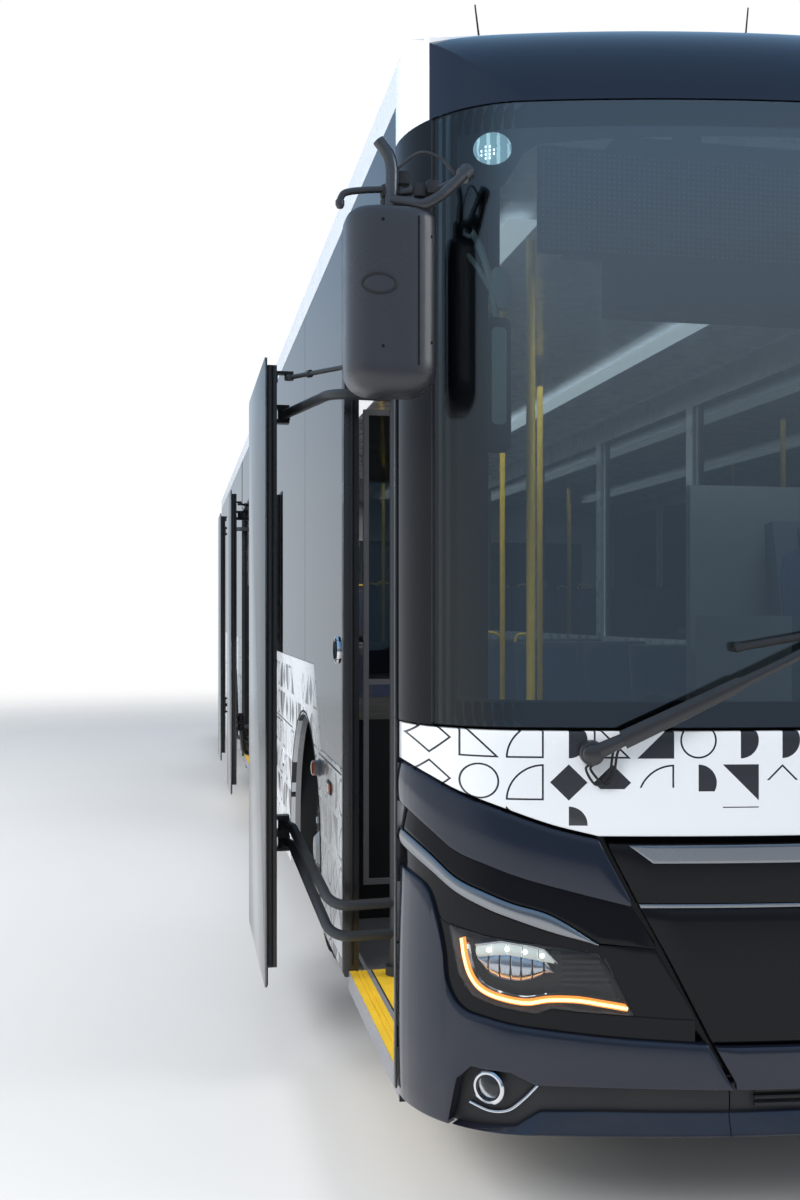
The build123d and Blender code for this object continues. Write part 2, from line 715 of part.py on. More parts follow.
def make_wheels():
    """Single front wheels with the disc bulging outwards, twin rear wheels bolted back to back."""
    front_hub = [(-65, 0), (-65, 105), (90, 125), (disc_offset - disc_skin + 2, 125), (disc_offset - 2, 100),
                 (disc_offset + 38, 60), (disc_offset + 48, 50), (disc_offset + 48, 0)]
    joint = (inner_wheel_plane - wheel_plane) / 2
    rear_hub = [(joint - 265, 0), (joint - 265, 205), (joint - 40, 205), (joint - 10, 225), (joint + 10, 225),
                (joint + 10, 125), (joint + 60, 118), (joint + 215, 90), (joint + 225, 80), (joint + 225, 0)]
    inner = inner_wheel_plane - wheel_plane
    for side, name in ((-1, "right"), (1, "left")):
        front = Pos(axle_front_x, 0, hub_height)
        write(f"tyre_front_{name}", front * make_tyre(wheel_plane, side))
        section = wheel_section(1) + make_face(Polyline(*front_hub, close=True))
        wheel = turned(section, wheel_plane, side)
        face_y = wheel_plane + disc_offset
        wheel = add_round(wheel, side, hand_hole_circle, face_y - 50, hand_hole_radius, 130, hand_holes, True)
        wheel = add_round(wheel, side, bolt_circle / 2, face_y + 11, nut_radius, 24, bolt_count, False)
        write(f"wheel_front_{name}", front * wheel)

        rear = Pos(axle_rear_x, 0, hub_height)
        write(f"tyres_rear_{name}", [rear * make_tyre(wheel_plane, side), rear * make_tyre(inner_wheel_plane, side)])
        section = wheel_section(-1) + Pos(inner, 0) * wheel_section(1) + make_face(Polyline(*rear_hub, close=True))
        wheel = turned(section, wheel_plane, side)
        face_y = wheel_plane - disc_offset
        wheel = add_round(wheel, side, bolt_circle / 2, face_y + disc_skin + 11, nut_radius, 24, bolt_count, False)
        write(f"wheels_rear_{name}", rear * wheel)


def make_axles():
    """Dropped front beam with kingpin bosses, knuckles, the rear drive axle and air springs."""
    drop = [(-kingpin_y, 480), (-kingpin_y, 440), (-700, 440), (-600, 190), (600, 190), (700, 440), (kingpin_y, 440),
            (kingpin_y, 520), (650, 520), (540, 280), (-540, 280), (-650, 520), (-kingpin_y, 520)]
    beam = extrude(Plane.YZ.offset(axle_front_x - 50) * make_face(Polyline(*drop, close=True)), 100)
    for side in (-1, 1):
        beam = beam + Pos(axle_front_x, side * kingpin_y, hub_height) * Cylinder(52, 110)
        beam = beam + Pos(axle_front_x, side * kingpin_y, hub_height) * Cylinder(15, 200)
    write("front_axle", beam)

    for side, name in ((-1, "right"), (1, "left")):
        place = Pos(axle_front_x, side * kingpin_y, hub_height)
        yoke = place * Pos(0, side * 10, 78) * Box(110, 130, 40)
        yoke = yoke + place * Pos(0, side * 10, -78) * Box(110, 130, 40)
        web_y = sorted((side * 58, side * 75))
        yoke = yoke + place * box((-55, 55), web_y, (-98, 98))
        arm = place * box((-230, -40), sorted((side * -40, side * 0)), (-98, -60))
        yoke = yoke + arm
        hub_back = wheel_plane - kingpin_y - 65
        boss_length = hub_back - 75 - seat_gap
        yoke = yoke + place * Pos(0, side * (75 + boss_length / 2), 0) * Rot(90, 0, 0) * Cylinder(60, boss_length)
        yoke = yoke - place * Cylinder(15.05, 240)
        write(f"knuckle_{name}", yoke)

    tube = rod((axle_rear_x, -560, hub_height), (axle_rear_x, 560, hub_height), 78)
    bowl = Pos(axle_rear_x, 0, hub_height) * Rot(0, 90, 0) * Cylinder(205, 200)
    nose = Pos(axle_rear_x - 230, 0, hub_height) * Rot(0, 90, 0) * Cylinder(95, 300)
    axle = tube + bowl + nose
    for side in (-1, 1):
        flange_end = (wheel_plane + inner_wheel_plane) / 2 - 265 - seat_gap
        flange = flange_end - housing_inner_y - housing_skin
        place = Pos(axle_rear_x, side * (flange_end - flange / 2), hub_height) * Rot(90, 0, 0)
        axle = axle + place * Cylinder(170, flange)
        seat_y = sorted((side * 390, side * 500))
        for x in (-bag_from_axle, bag_from_axle):
            axle = axle + box((axle_rear_x + min(0, x) - 60, axle_rear_x + max(0, x) + 60), seat_y, (560, 590))
        axle = axle + box((axle_rear_x - 60, axle_rear_x + 60), seat_y, (480, 590))
    write("rear_axle", axle)

    bags = []
    for side in (-1, 1):
        low, high = 520, housing_top - housing_skin
        bags.append(Pos(axle_front_x, side * 650, (low + high) / 2) * Cylinder(bag_radius, high - low))
        for x in (-bag_from_axle, bag_from_axle):
            bags.append(Pos(axle_rear_x + x, side * 445, 645) * Cylinder(bag_radius, 110))
    write("air_springs", bags)

    block_x, gear_x = tail_x + 1650, tail_x + 2200
    engine = box((tail_x + 400, block_x), (-560, 640), (330, 700))
    engine = engine + box((block_x, gear_x), (-230, 230), (360, 660))
    shaft = rod((gear_x, 0, hub_height), (axle_rear_x - 380, 0, hub_height), 45)
    write("engine_block", [engine, shaft])


def make_roof_units():
    """Air-conditioning unit on the roof and the two lifting roof hatches."""
    x0, x1 = roof_unit_x
    half = roof_unit_width / 2
    low = roof_shoulder - 60
    unit = box((x0, x1), (-half, half), (low, roof_top + roof_unit_height))
    unit = unit - cross_section(0)
    unit = chamfer(unit.edges().group_by(Axis.Z)[-1], 70)
    for index in range(2):
        x = x0 + 800 + index * 1000
        fan = Pos(x, 0, roof_top + roof_unit_height) * Cylinder(230, 60)
        unit = unit - fan
        unit = unit + Pos(x, 0, roof_top + roof_unit_height - 22) * Cylinder(60, 16)
    write("roof_unit", unit)

    for x, name in zip(hatch_x, ("front", "rear")):
        half = hatch_size / 2
        low = coaming_top + seat_gap
        edge = half + hatch_rim + hatch_lip
        lid = box((x - edge, x + edge), (-edge, edge), (low, low + hatch_lift))
        lid = chamfer(lid.edges().group_by(Axis.Z)[-1], 12)
        lid = lid + hatch_hinge(x) * hatch_barrels()[1]
        write(f"roof_hatch_{name}", lid)


def flap_hinge():
    """Place of the flap's hinge, just outside the skin at its front edge."""
    return Pos(flap_x[1], -half_width - hinge_stand, (flap_z[0] + flap_z[1]) / 2) * Rot(90, 0, 0)


def make_flap():
    gap = 3
    flap_y = (-half_width, -half_width + flap_skin)
    flap = box((flap_x[0] + gap, flap_x[1] - gap), flap_y, (flap_z[0] + gap, flap_z[1] - gap))
    write("fuel_flap", flap + flap_hinge() * surface_barrels(90)[1])


def door_leaf(rear, front, shift, seal):
    """Leaf frame and its bonded outer glass, closed place moved by shift."""
    glass_y = (-half_width, -half_width + glass)
    frame_y = (-half_width + glass + seat_gap, -half_width + glass + leaf_frame)
    frame = box((rear + seal, front - seal), frame_y, (leaf_bottom, leaf_top))
    for low, high in leaf_openings:
        frame = frame - box((rear + seal + leaf_stile, front - seal - leaf_stile),
                            (frame_y[0] - 1, frame_y[1] + 1), (low, high))
    pane = box((rear, front), glass_y, (door_glass_bottom, door_glass_top))
    return Pos(*shift) * frame, Pos(*shift) * pane, frame_y[1]


def door_linkage(pivot, reach, elbow, ahead):
    """Column with three arms and the guide rod; reach is from column to leaf pivot at rest."""
    px, py = pivot
    bottom, top = low_floor + 30 + seat_gap, door_top + 25 - seat_gap
    column = Pos(px, py, (bottom + top) / 2) * Cylinder(column_radius, top - bottom)
    knee = (px + elbow[0], py + elbow[1])
    tip = (px + reach[0], py + reach[1])
    bend = 70
    high = upper_arm_height
    upper = tube_path([(px, py, high), (*knee, high), (*tip, high)], arm_radius, bend)
    arms = column + upper
    for at_column, at_leaf in lower_arm_heights:
        near = (tip[0] + (knee[0] - tip[0]) * 0.2, tip[1] + (knee[1] - tip[1]) * 0.2)
        points = [(px, py, at_column), (*knee, at_column), (*near, at_leaf), (*tip, at_leaf)]
        arms = arms + tube_path(points, arm_radius, (bend, 40))
    for height in [upper_arm_height] + [at_leaf for _, at_leaf in lower_arm_heights]:
        arms = arms + Pos(*tip, height) * Cylinder(22, 36)
    bar = rod((px + ahead, py, rod_height), (tip[0] + ahead, tip[1], rod_height), rod_radius)
    for x, y in ((px + ahead, py), (tip[0] + ahead, tip[1])):
        bar = bar + Pos(x, y, rod_height) * Cylinder(16, 18)
    along = Vector(reach[0], reach[1], 0).normalized()
    for share in (0.2, 0.8):
        x, y = px + ahead + reach[0] * share, py + reach[1] * share
        nut = Plane(origin=(x, y, rod_height), z_dir=along) * Circle(13)
        bar = bar + extrude(nut, 14)
    return arms, bar, tip


def leaf_brackets(tip, ahead, inner_face):
    """Brackets on the leaf's inner face that end in pins for the arms and the rod."""
    x, y = tip
    lugs = []
    heights = [upper_arm_height] + [at_leaf for _, at_leaf in lower_arm_heights]
    for height in heights:
        for offset in (-25.3, 25.3):
            lugs.append(box((x - 22, x + 22), (inner_face, y + 18), (height + offset - 7, height + offset + 7)))
        lugs.append(box((x - 30, x + 30), (inner_face, inner_face + 10), (height - 40, height + 40)))
    xr = x + ahead
    lugs.append(box((xr - 16, xr + 16), (inner_face, y + 14), (rod_height + 9 + seat_gap, rod_height + 19)))
    lugs.append(box((xr - 20, xr + 20), (inner_face, inner_face + 10), (rod_height - 20, leaf_top - 2)))
    return lugs


# Each leaf: name, rear x and front x when closed, column x, pivot reach closed, move to open
middle_door_middle = (middle_door_x[0] + middle_door_x[1]) / 2
leaf_table = [
    dict(name="front_door", rear=front_door_x[0] + 14, front=front_door_x[1] - 8,
         column=front_door_x[0] + column_from_edge, reach=(530, -70), move=(-950, -260), elbow=(20, -215), ahead=190),
    dict(name="middle_door_front", rear=middle_door_middle + 4, front=middle_door_x[1] - 14,
         column=middle_door_x[1] - column_from_edge, reach=(-369, -70), move=(650, -180), elbow=(0, -215), ahead=-140),
    dict(name="middle_door_rear", rear=middle_door_x[0] + 14, front=middle_door_middle - 4,
         column=middle_door_x[0] + column_from_edge, reach=(369, -70), move=(-650, -180), elbow=(0, -215), ahead=140),
]


def make_doors():
    """Each leaf swings out on a column's arms and stays parallel to the side by its rod."""
    for leaf in leaf_table:
        shift = (*leaf["move"], 0)
        frame, pane, inner_closed = door_leaf(leaf["rear"], leaf["front"], shift, 10)
        reach = (leaf["reach"][0] + leaf["move"][0], leaf["reach"][1] + leaf["move"][1])
        arms, bar, tip = door_linkage((leaf["column"], column_y), reach, leaf["elbow"], leaf["ahead"])
        for lug in leaf_brackets(tip, leaf["ahead"], inner_closed + leaf["move"][1]):
            frame = frame + lug
        write(f"{leaf['name']}_leaf", [frame, pane])
        write(f"{leaf['name']}_arms", arms)
        write(f"{leaf['name']}_rod", bar)
    boxes = []
    feet = []
    for (rear, front) in (front_door_x, middle_door_x):
        cover = box((rear - 20, min(front + 20, corner_x)), (-wall_inner_y, -1000), (door_top + 25, door_top + 265))
        boxes.append(cover)
    for leaf in leaf_table:
        feet.append(Pos(leaf["column"], column_y, low_floor + 15) * Cylinder(34, 30))
        pin_x = leaf["column"] + leaf["ahead"]
        low = rod_height + 9 + seat_gap
        feet.append(Pos(pin_x, column_y, (low + door_top + 25) / 2) * Cylinder(14, door_top + 25 - low))
    write("door_gear", boxes + feet)


def make_mirrors():
    """Hanging mirrors on bent arms at the windscreen's top corners."""
    arms, heads, faces = [], [], []
    middle, height = (head_low + head_high) / 2, head_high - head_low
    for side, reach in mirror_places:
        y = side * reach
        half = head_width / 2
        turn = radians(20)
        knee = (head_bend * cos(turn), half - head_bend + head_bend * sin(turn))
        outline = [
            Line((-head_back, -half), (-head_back, half)),
            Line((-head_back, half), (0, half)),
            arc(0, half - head_bend, head_bend, 90, 20),
            ThreePointArc(knee, (head_front, 0), (knee[0], -knee[1])),
            arc(0, head_bend - half, head_bend, -20, -90),
            Line((0, -half), (-head_back, -half)),
        ]
        head = extrude(Plane.XY.offset(head_low) * make_face(outline), height)
        front = Plane.YZ.offset(-200) * Pos(0, middle) * RectangleRounded(2 * half, height, head_corner)
        head = head & extrude(front, 400)
        head = Pos(mirror_x, y, 0) * head
        head = head - Pos(mirror_x - 70, y, middle) * Box(16, 2 * half - 24, height - 40)
        heads.append(head)
        faces.append(Pos(mirror_x - 66, y, middle) * Box(8, 2 * half - 30, height - 46))
        turn = Rot(0, 0, side * foot_angle)
        off_glass = corner_radius - screen_inset + seat_gap
        foot = Pos(corner_x, side * corner_y, 0) * turn * Pos(off_glass + 10, 0, foot_height)
        root = (foot * Pos(5, 0, 0)).position
        bends = [(mirror_x + 85, side * (half_width - 95), arm_height + 20),
                 (mirror_x + 75, side * (half_width + 15), arm_height)]
        bar = tube_path([(root.X, root.Y, root.Z), *bends, (mirror_x, y, arm_height)],
                        15, 40) + foot * Box(20, 80, 60)
        post = rod((mirror_x, y, head_high), (mirror_x, y, arm_height + 75), 15)
        arms.append(bar + post + Pos(mirror_x, y, arm_height + 75) * Sphere(15))
    write("mirrors", [arm + head for arm, head in zip(arms, heads)] + faces + [inside_mirror()])


def inside_mirror():
    """Long doorway mirror behind the windscreen, on a bent arm from the right pillar."""
    x, y = nose_x - 211, -half_width + 200
    turn = Rot(0, 0, -inside_foot_angle)
    pillar = Pos(corner_x, -corner_y, 0) * turn
    reach = corner_radius - mask_depth - 7
    foot = pillar * Pos(reach, 0, inside_high + 290)
    head = Pos(x, y, inside_high - 160) * Box(34, 66, 320)
    head = head + Pos(x, y, inside_high + 50) * Rot(0, 90, 0) * Cylinder(34, 30)
    root = (foot * Pos(-5, 0, 0)).position
    bends = [(root.X + 5, root.Y + 70, root.Z - 30), (x, y, inside_high + 160)]
    arm = tube_path([(root.X, root.Y, root.Z), *bends, (x, y, inside_high - 10)], 10, (18, 40))
    return head + arm + foot * Box(10, 50, 70)


def screen_band(low, high):
    """A thin ring sector in front of the screen, low and high off the body's outline."""
    front = nose_centre_x, 0
    ring = Circle(front_radius + high) - Circle(front_radius + low)
    low = screen_bottom - 340
    band = Pos(*front, low) * extrude(ring, 1000)
    return band & box((nose_centre_x + 3000, nose_x + 200), (-1000, 1000), (low, low + 1000))


def slanted(start, end, wide, narrow):
    """Outline of a tapered bar in front view."""
    (y0, z0), (y1, z1) = start, end
    length = hypot(y1 - y0, z1 - z0)
    ny, nz = -(z1 - z0) / length, (y1 - y0) / length
    return [(y0 + ny * wide, z0 + nz * wide), (y1 + ny * narrow, z1 + nz * narrow),
            (y1 - ny * narrow, z1 - nz * narrow), (y0 - ny * wide, z0 - nz * wide)]


def make_wipers():
    """Two parked wipers, each a tapered arm on its pivot and a long blade."""
    pieces = []
    for y in wiper_pivots:
        radius = front_radius - 2 + seat_gap
        turn = degrees(asin(y / radius))
        pivot = Pos(nose_centre_x, 0, wiper_height) * Rot(0, 0, turn) * Pos(radius + 22, 0, 0) * Rot(0, 90, 0)
        arm = screen_band(28, 44) & front_view(slanted((y, wiper_height), (y + 590, wiper_height + 288), 22, 9))
        rubber = slanted((y + 320, wiper_height + 242), (y + 860, wiper_height + 334), 9, 9)
        blade = screen_band(2, 30) & front_view(rubber)
        pieces.append(pivot * Cylinder(26, 44) + arm + blade)
    write("wipers", pieces)


def make_cab():
    """Dashboard, steering wheel and column, driver's seat, partition, cab door and the sign box."""
    foot_x = platform_front_x
    dash = side_view([(foot_x, 640), (foot_x + 200, 640), (foot_x + 340, 1180), (foot_x + 300, 1250),
                      (foot_x - 80, 1180), (foot_x - 140, 1060), (foot_x, 940)], 60, 1180)
    dash = dash & prism(bumper_depth + front_wall_skin + seat_gap, 0, roof_top)
    shelf = prism(bumper_depth + front_wall_skin + seat_gap, 1150, 1180)
    shelf = shelf & box((foot_x, nose_x), (-1180, 55), (1100, 1200))
    column = rod((foot_x - 110, 620, 1030), (foot_x - 230, 620, 1165), 32)
    write("dashboard", [dash + column, shelf])

    centre, tilt = (foot_x - 242, 620, 1178), 41
    plane = Plane(origin=centre, z_dir=(-sin(radians(tilt)), 0, cos(radians(tilt))))
    ring = plane * Pos(0, 0, 0) * Torus(225, 14)
    hub = plane * Pos(0, 0, -2) * Cylinder(55, 30)
    wheel = ring + hub
    for turn in (90, 210, 330):
        wheel = wheel + plane * Rot(0, 0, turn) * Pos(125, 0, 0) * Box(180, 34, 10)
    write("steering_wheel", wheel)

    seat_x = platform_back_x + 200
    seat = side_view([(seat_x - 40, 1060), (seat_x, 1140), (seat_x + 460, 1150), (seat_x + 480, 1080),
                      (seat_x + 420, 1040), (seat_x, 1030)], 380, 860)
    back = side_view([(seat_x - 60, 1045), (seat_x + 40, 1055), (seat_x + 20, 1160), (seat_x - 100, 1860),
                      (seat_x - 170, 1850)], 390, 850)
    base = box((seat_x + 20, seat_x + 380), (480, 760), (platform_top, 1040))
    write("driver_seat", seat + back + base)

    post_x = platform_back_x
    screen = box((post_x - 40, post_x - 5), (platform_side_y, wall_inner_y - 2), (low_floor, 2000))
    screen = screen + box((post_x - 40, post_x - 5), (platform_side_y - 45, platform_side_y), (low_floor, 2000))
    hinge_x, hinge_y = post_x + 20, platform_side_y - 29
    door = box((post_x + 45, post_x + 745), (platform_side_y - 45, platform_side_y - 13), (platform_top + 20, 1500))
    for z in (800, 1320):
        thick = (-hinge_plate / 2, hinge_plate / 2)
        fixed, moving = hinge_barrels(90, ((0, 26), thick), ((-26, 0), thick))
        place = Pos(hinge_x, hinge_y, z) * Rot(90, 0, 0) * Rot(0, 180, 0)
        screen = screen + place * fixed
        door = door + place * moving
    write("cab_partition", screen)
    write("cab_door", door)

    sign = box((nose_x - 250, nose_x - 150), (-800, 800), sign_z)
    under_roof = body_form(roof_depth, sign_z[0], roof_top) & cap_form(roof_depth)
    for y in (-600, 600):
        hanger = box((nose_x - 240, nose_x - 160), (y - 20, y + 20), (sign_z[1], roof_top - 50))
        sign = sign + (hanger & under_roof)
    write("sign_box", sign)


seat_rows = [
    # x of the seat's front edge, floor height under it, y centres
    (axle_front_x - 825, low_floor, (-980, 980)), (axle_front_x - 1625, low_floor, (-980, -520, 520, 980)),
    (axle_front_x - 2425, low_floor, (520, 980)),
    (axle_rear_x - 700, high_floor, (-980, -520, 520, 980)),
    (axle_rear_x - 1450, high_floor, (-980, -520, 520, 980)),
    (axle_rear_x - 2200, high_floor, (-980, -520, 520, 980)),
    (tail_x + 600, high_floor, (-980, -490, 0, 490, 980)),
]


def make_seats():
    """Moulded passenger seats, one solid each, on pedestals."""
    seats = []
    for front_x, floor, places in seat_rows:
        for y in places:
            shell = side_view([
                (front_x, floor + 430), (front_x - 20, floor + 460), (front_x - 400, floor + 440),
                (front_x - 480, floor + 1000), (front_x - 520, floor + 1010), (front_x - 455, floor + 400),
                (front_x - 40, floor + 405)], y - 215, y + 215)
            foot = box((front_x - 300, front_x - 120), (y - 60, y + 60), (floor, floor + 415))
            seats.append(shell + foot)
    write("seats", seats)


def make_handrails():
    """Grab poles between floor and ceiling."""
    poles = []
    table = [  # x, y, foot height
        (axle_front_x - 675, -290, low_floor), (axle_front_x - 1475, 270, low_floor),
        (axle_front_x - 2275, 270, low_floor), (middle_door_x[1] + 250, -700, low_floor),
        (middle_door_x[0] - 55, -700, low_floor), (front_door_x[0] - 430, -500, low_floor),
        (axle_rear_x - 610, 270, high_floor), (axle_rear_x - 2130, -270, high_floor),
    ]
    ceiling = body_form(roof_depth, 0, roof_top)
    for x, y, foot in table:
        pole = rod((x, y, foot), (x, y, roof_top), 17.5)
        poles.append(pole & ceiling)
    write("handrails", poles)


make_roof()
rear_pane, tail_lamps = make_rear()
write("windows", make_side_wall(-1) + make_side_wall(1) + [rear_pane])
make_front_frame()
make_front_skins()
make_floor()
make_chassis()
make_housings()
make_wheels()
make_axles()
make_roof_units()
make_flap()
make_doors()
make_mirrors()
make_wipers()
make_cab()
make_seats()
make_handrails()
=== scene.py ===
import json
import math
from functools import partial

import bmesh
import bpy
from mathutils import Matrix, Vector

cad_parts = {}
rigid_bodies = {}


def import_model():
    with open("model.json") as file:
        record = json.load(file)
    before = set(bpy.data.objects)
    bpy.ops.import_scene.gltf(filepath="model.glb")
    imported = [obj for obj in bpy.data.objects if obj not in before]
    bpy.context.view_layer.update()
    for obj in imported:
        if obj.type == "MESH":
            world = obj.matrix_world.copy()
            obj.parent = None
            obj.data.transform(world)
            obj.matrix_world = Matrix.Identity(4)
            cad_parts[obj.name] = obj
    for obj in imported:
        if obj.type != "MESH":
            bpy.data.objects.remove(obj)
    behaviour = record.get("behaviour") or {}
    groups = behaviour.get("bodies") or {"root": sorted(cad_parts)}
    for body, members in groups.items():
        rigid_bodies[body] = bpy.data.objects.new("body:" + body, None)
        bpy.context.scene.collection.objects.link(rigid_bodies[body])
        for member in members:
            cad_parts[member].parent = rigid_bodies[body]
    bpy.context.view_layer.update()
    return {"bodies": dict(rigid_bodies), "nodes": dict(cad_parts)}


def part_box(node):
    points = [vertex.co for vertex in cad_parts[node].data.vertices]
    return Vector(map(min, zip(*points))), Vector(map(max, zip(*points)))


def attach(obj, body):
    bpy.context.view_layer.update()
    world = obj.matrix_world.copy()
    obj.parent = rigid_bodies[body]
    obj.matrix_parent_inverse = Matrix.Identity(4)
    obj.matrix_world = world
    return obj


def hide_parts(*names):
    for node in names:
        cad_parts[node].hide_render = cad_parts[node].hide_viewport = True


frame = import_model()
nodes = frame["nodes"]
print("frame loaded:", len(nodes), "nodes")

# Colours are linear RGB, lengths metres, angles degrees; most profiles of turned shapes are in millimetres.
paints = {
    "white": (0.74, 0.76, 0.79),
    "navy": (0.01, 0.014, 0.027),
    "glossBlack": (0.006, 0.006, 0.0075),
    "charcoal": (0.028, 0.031, 0.036),
    "frame": (0.014, 0.014, 0.016),
    "silver": (0.31, 0.32, 0.34),
    "amber": (1.0, 0.27, 0.02),
    "yellow": (0.83, 0.53, 0.035),
    "rubber": (0.011, 0.011, 0.012),
    "grime": (0.11, 0.095, 0.08),
}

# Body outline seen from above, rebuilt from the frame
outline = {"frontRadius": 3.9, "cornerRadius": 0.333}
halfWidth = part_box("side_wall_left")[1].y
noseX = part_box("bumper_centre")[1].x
noseCentreX = noseX - outline["frontRadius"]
cornerY = halfWidth - outline["cornerRadius"]
cornerReach = outline["frontRadius"] - outline["cornerRadius"]
cornerX = noseCentreX + math.sqrt(cornerReach ** 2 - cornerY ** 2)
cornerAngle = math.asin(cornerY / cornerReach)
frontArc = outline["frontRadius"] * cornerAngle
cornerArc = outline["cornerRadius"] * (math.pi / 2 - cornerAngle)
tags = {-1: "kerb", 1: "driver"}
frontAxleX, rearAxleX = 3.475, -2.65


def arcOf(y):  # length along the outline from the nose's middle to a distance y to the side
    if y <= outline["frontRadius"] * math.sin(cornerAngle):
        return outline["frontRadius"] * math.asin(y / outline["frontRadius"])
    rise = min(1.0, (y - cornerY) / outline["cornerRadius"])
    return frontArc + outline["cornerRadius"] * (math.asin(rise) - cornerAngle)


def around(s, z, inset=0.0):  # point on the outline at length s, minus on the kerb side
    side = -1 if s < 0 else 1
    s = abs(s)
    if s <= frontArc:
        turn, r = s / outline["frontRadius"], outline["frontRadius"] - inset
        x, y = noseCentreX + r * math.cos(turn), r * math.sin(turn)
    elif s <= frontArc + cornerArc:
        turn = cornerAngle + (s - frontArc) / outline["cornerRadius"]
        r = outline["cornerRadius"] - inset
        x, y = cornerX + r * math.cos(turn), cornerY + r * math.sin(turn)
    else:
        x, y = cornerX - (s - frontArc - cornerArc), halfWidth - inset
    return Vector((x, side * y, z))


# Shapes are (points, faces) pairs
def gridShape(rows, wrapRows=False, wrapColumns=False):
    count, width = len(rows), len(rows[0])
    points = [p for row in rows for p in row]
    faces = []
    for i in range(count if wrapRows else count - 1):
        for j in range(width if wrapColumns else width - 1):
            a, b = i * width + j, i * width + (j + 1) % width
            c, d = ((i + 1) % count) * width + (j + 1) % width, ((i + 1) % count) * width + j
            faces.append((a, b, c, d))
    return points, faces


def shellShape(front, back):  # a closed plate between two grids of the same size
    points, faces = gridShape(front)
    size = len(points)
    backPoints, backFaces = gridShape(back)
    points = points + backPoints
    faces += [tuple(size + i for i in reversed(face)) for face in backFaces]
    count, width = len(front), len(front[0])
    border = [(0, j) for j in range(width)] + [(i, width - 1) for i in range(1, count)]
    border += [(count - 1, j) for j in range(width - 2, -1, -1)] + [(i, 0) for i in range(count - 2, 0, -1)]
    for k, (i, j) in enumerate(border):
        m, n = border[(k + 1) % len(border)]
        faces.append((i * width + j, m * width + n, size + m * width + n, size + i * width + j))
    return points, faces


def boxShape(low, high):
    x, y, z = zip(low, high)
    points = [Vector((x[i], y[j], z[k])) for i in (0, 1) for j in (0, 1) for k in (0, 1)]
    return points, [(0, 1, 3, 2), (4, 6, 7, 5), (0, 4, 5, 1), (2, 3, 7, 6), (0, 2, 6, 4), (1, 5, 7, 3)]


def cappedShape(rows):  # rings of points, the first and the last closed
    points, faces = gridShape(rows, wrapColumns=True)
    sides = len(rows[0])
    return points, faces + [tuple(range(sides - 1, -1, -1)), tuple(range(len(points) - sides, len(points)))]


def ringOf(centre, wide, tall, sides):
    turns = [2 * math.pi * k / sides for k in range(sides)]
    return [centre + wide * math.cos(t) + tall * math.sin(t) for t in turns]


def tubeShape(path, radius, sides=12, closed=False):  # radius is a number or one for each point
    path = [Vector(p) for p in path]
    last = len(path) - 1
    radii = radius if isinstance(radius, (list, tuple)) else [radius] * len(path)
    rows = []
    normal = None
    for i, p in enumerate(path):
        near = (i - 1, (i + 1) % len(path)) if closed else (max(i - 1, 0), min(i + 1, last))
        ahead = (path[near[1]] - path[near[0]]).normalized()
        if normal is None:
            normal = ahead.orthogonal().normalized()
        normal = (normal - ahead * normal.dot(ahead)).normalized()
        rows.append(ringOf(p, normal * radii[i], ahead.cross(normal) * radii[i], sides))
    return gridShape(rows, wrapRows=True, wrapColumns=True) if closed else cappedShape(rows)


def turnedShape(profile, centre, axis, sides=32, per=1000):
    # profile of (radius, distance along the axis); per says how many of its units make a metre
    axis = Vector(axis).normalized()
    across = axis.orthogonal().normalized()
    other = axis.cross(across)
    rows = []
    for k in range(sides):
        t = 2 * math.pi * k / sides
        out = across * math.cos(t) + other * math.sin(t)
        rows.append([Vector(centre) + out * (r / per) + axis * (h / per) for r, h in profile])
    return gridShape(rows, wrapRows=True)


def plateShape(loop, shift):  # a flat outline pushed along shift
    loop = [Vector(p) for p in loop]
    count = len(loop)
    points = loop + [p + Vector(shift) for p in loop]
    faces = [tuple(range(count)), tuple(range(2 * count - 1, count - 1, -1))]
    faces += [(i, (i + 1) % count, count + (i + 1) % count, count + i) for i in range(count)]
    return points, faces


def joined(shapes):
    points, faces = [], []
    for morePoints, moreFaces in shapes:
        start = len(points)
        points = points + list(morePoints)
        faces += [tuple(start + i for i in face) for face in moreFaces]
    return points, faces


def lineAt(points, u):  # a smooth run through the points, u from 0 to 1
    last = len(points) - 1
    place = min(max(u, 0.0), 1.0) * last
    i = min(int(place), last - 1)
    t = place - i
    p = [Vector(points[min(max(k, 0), last)]) for k in (i - 1, i, i + 1, i + 2)]
    if i == 0:
        p[0] = 2 * p[1] - p[2]
    if i == last - 1:
        p[3] = 2 * p[2] - p[1]
    return 0.5 * (2 * p[1] + (p[2] - p[0]) * t + (2 * p[0] - 5 * p[1] + 4 * p[2] - p[3]) * t * t
                  + (3 * p[1] - p[0] - 3 * p[2] + p[3]) * t ** 3)


def smoothRun(points, steps):
    count = (len(points) - 1) * steps
    return [lineAt(points, k / count) for k in range(count + 1)]


def linked(name, data):  # a new object in the scene
    obj = bpy.data.objects.new(name, data)
    bpy.context.scene.collection.objects.link(obj)
    return obj


def meshOf(name, shape, merge=None):
    mesh = bpy.data.meshes.new(name)
    mesh.from_pydata([tuple(p) for p in shape[0]], [], shape[1])
    built = bmesh.new()
    built.from_mesh(mesh)
    if merge is not None:
        bmesh.ops.remove_doubles(built, verts=built.verts, dist=max(merge, 1e-6))
    bmesh.ops.recalc_face_normals(built, faces=built.faces)
    built.to_mesh(mesh)
    built.free()
    return mesh


def smoothed(mesh, angle):
    mesh.shade_smooth()
    mesh.set_sharp_from_angle(angle=math.radians(angle))


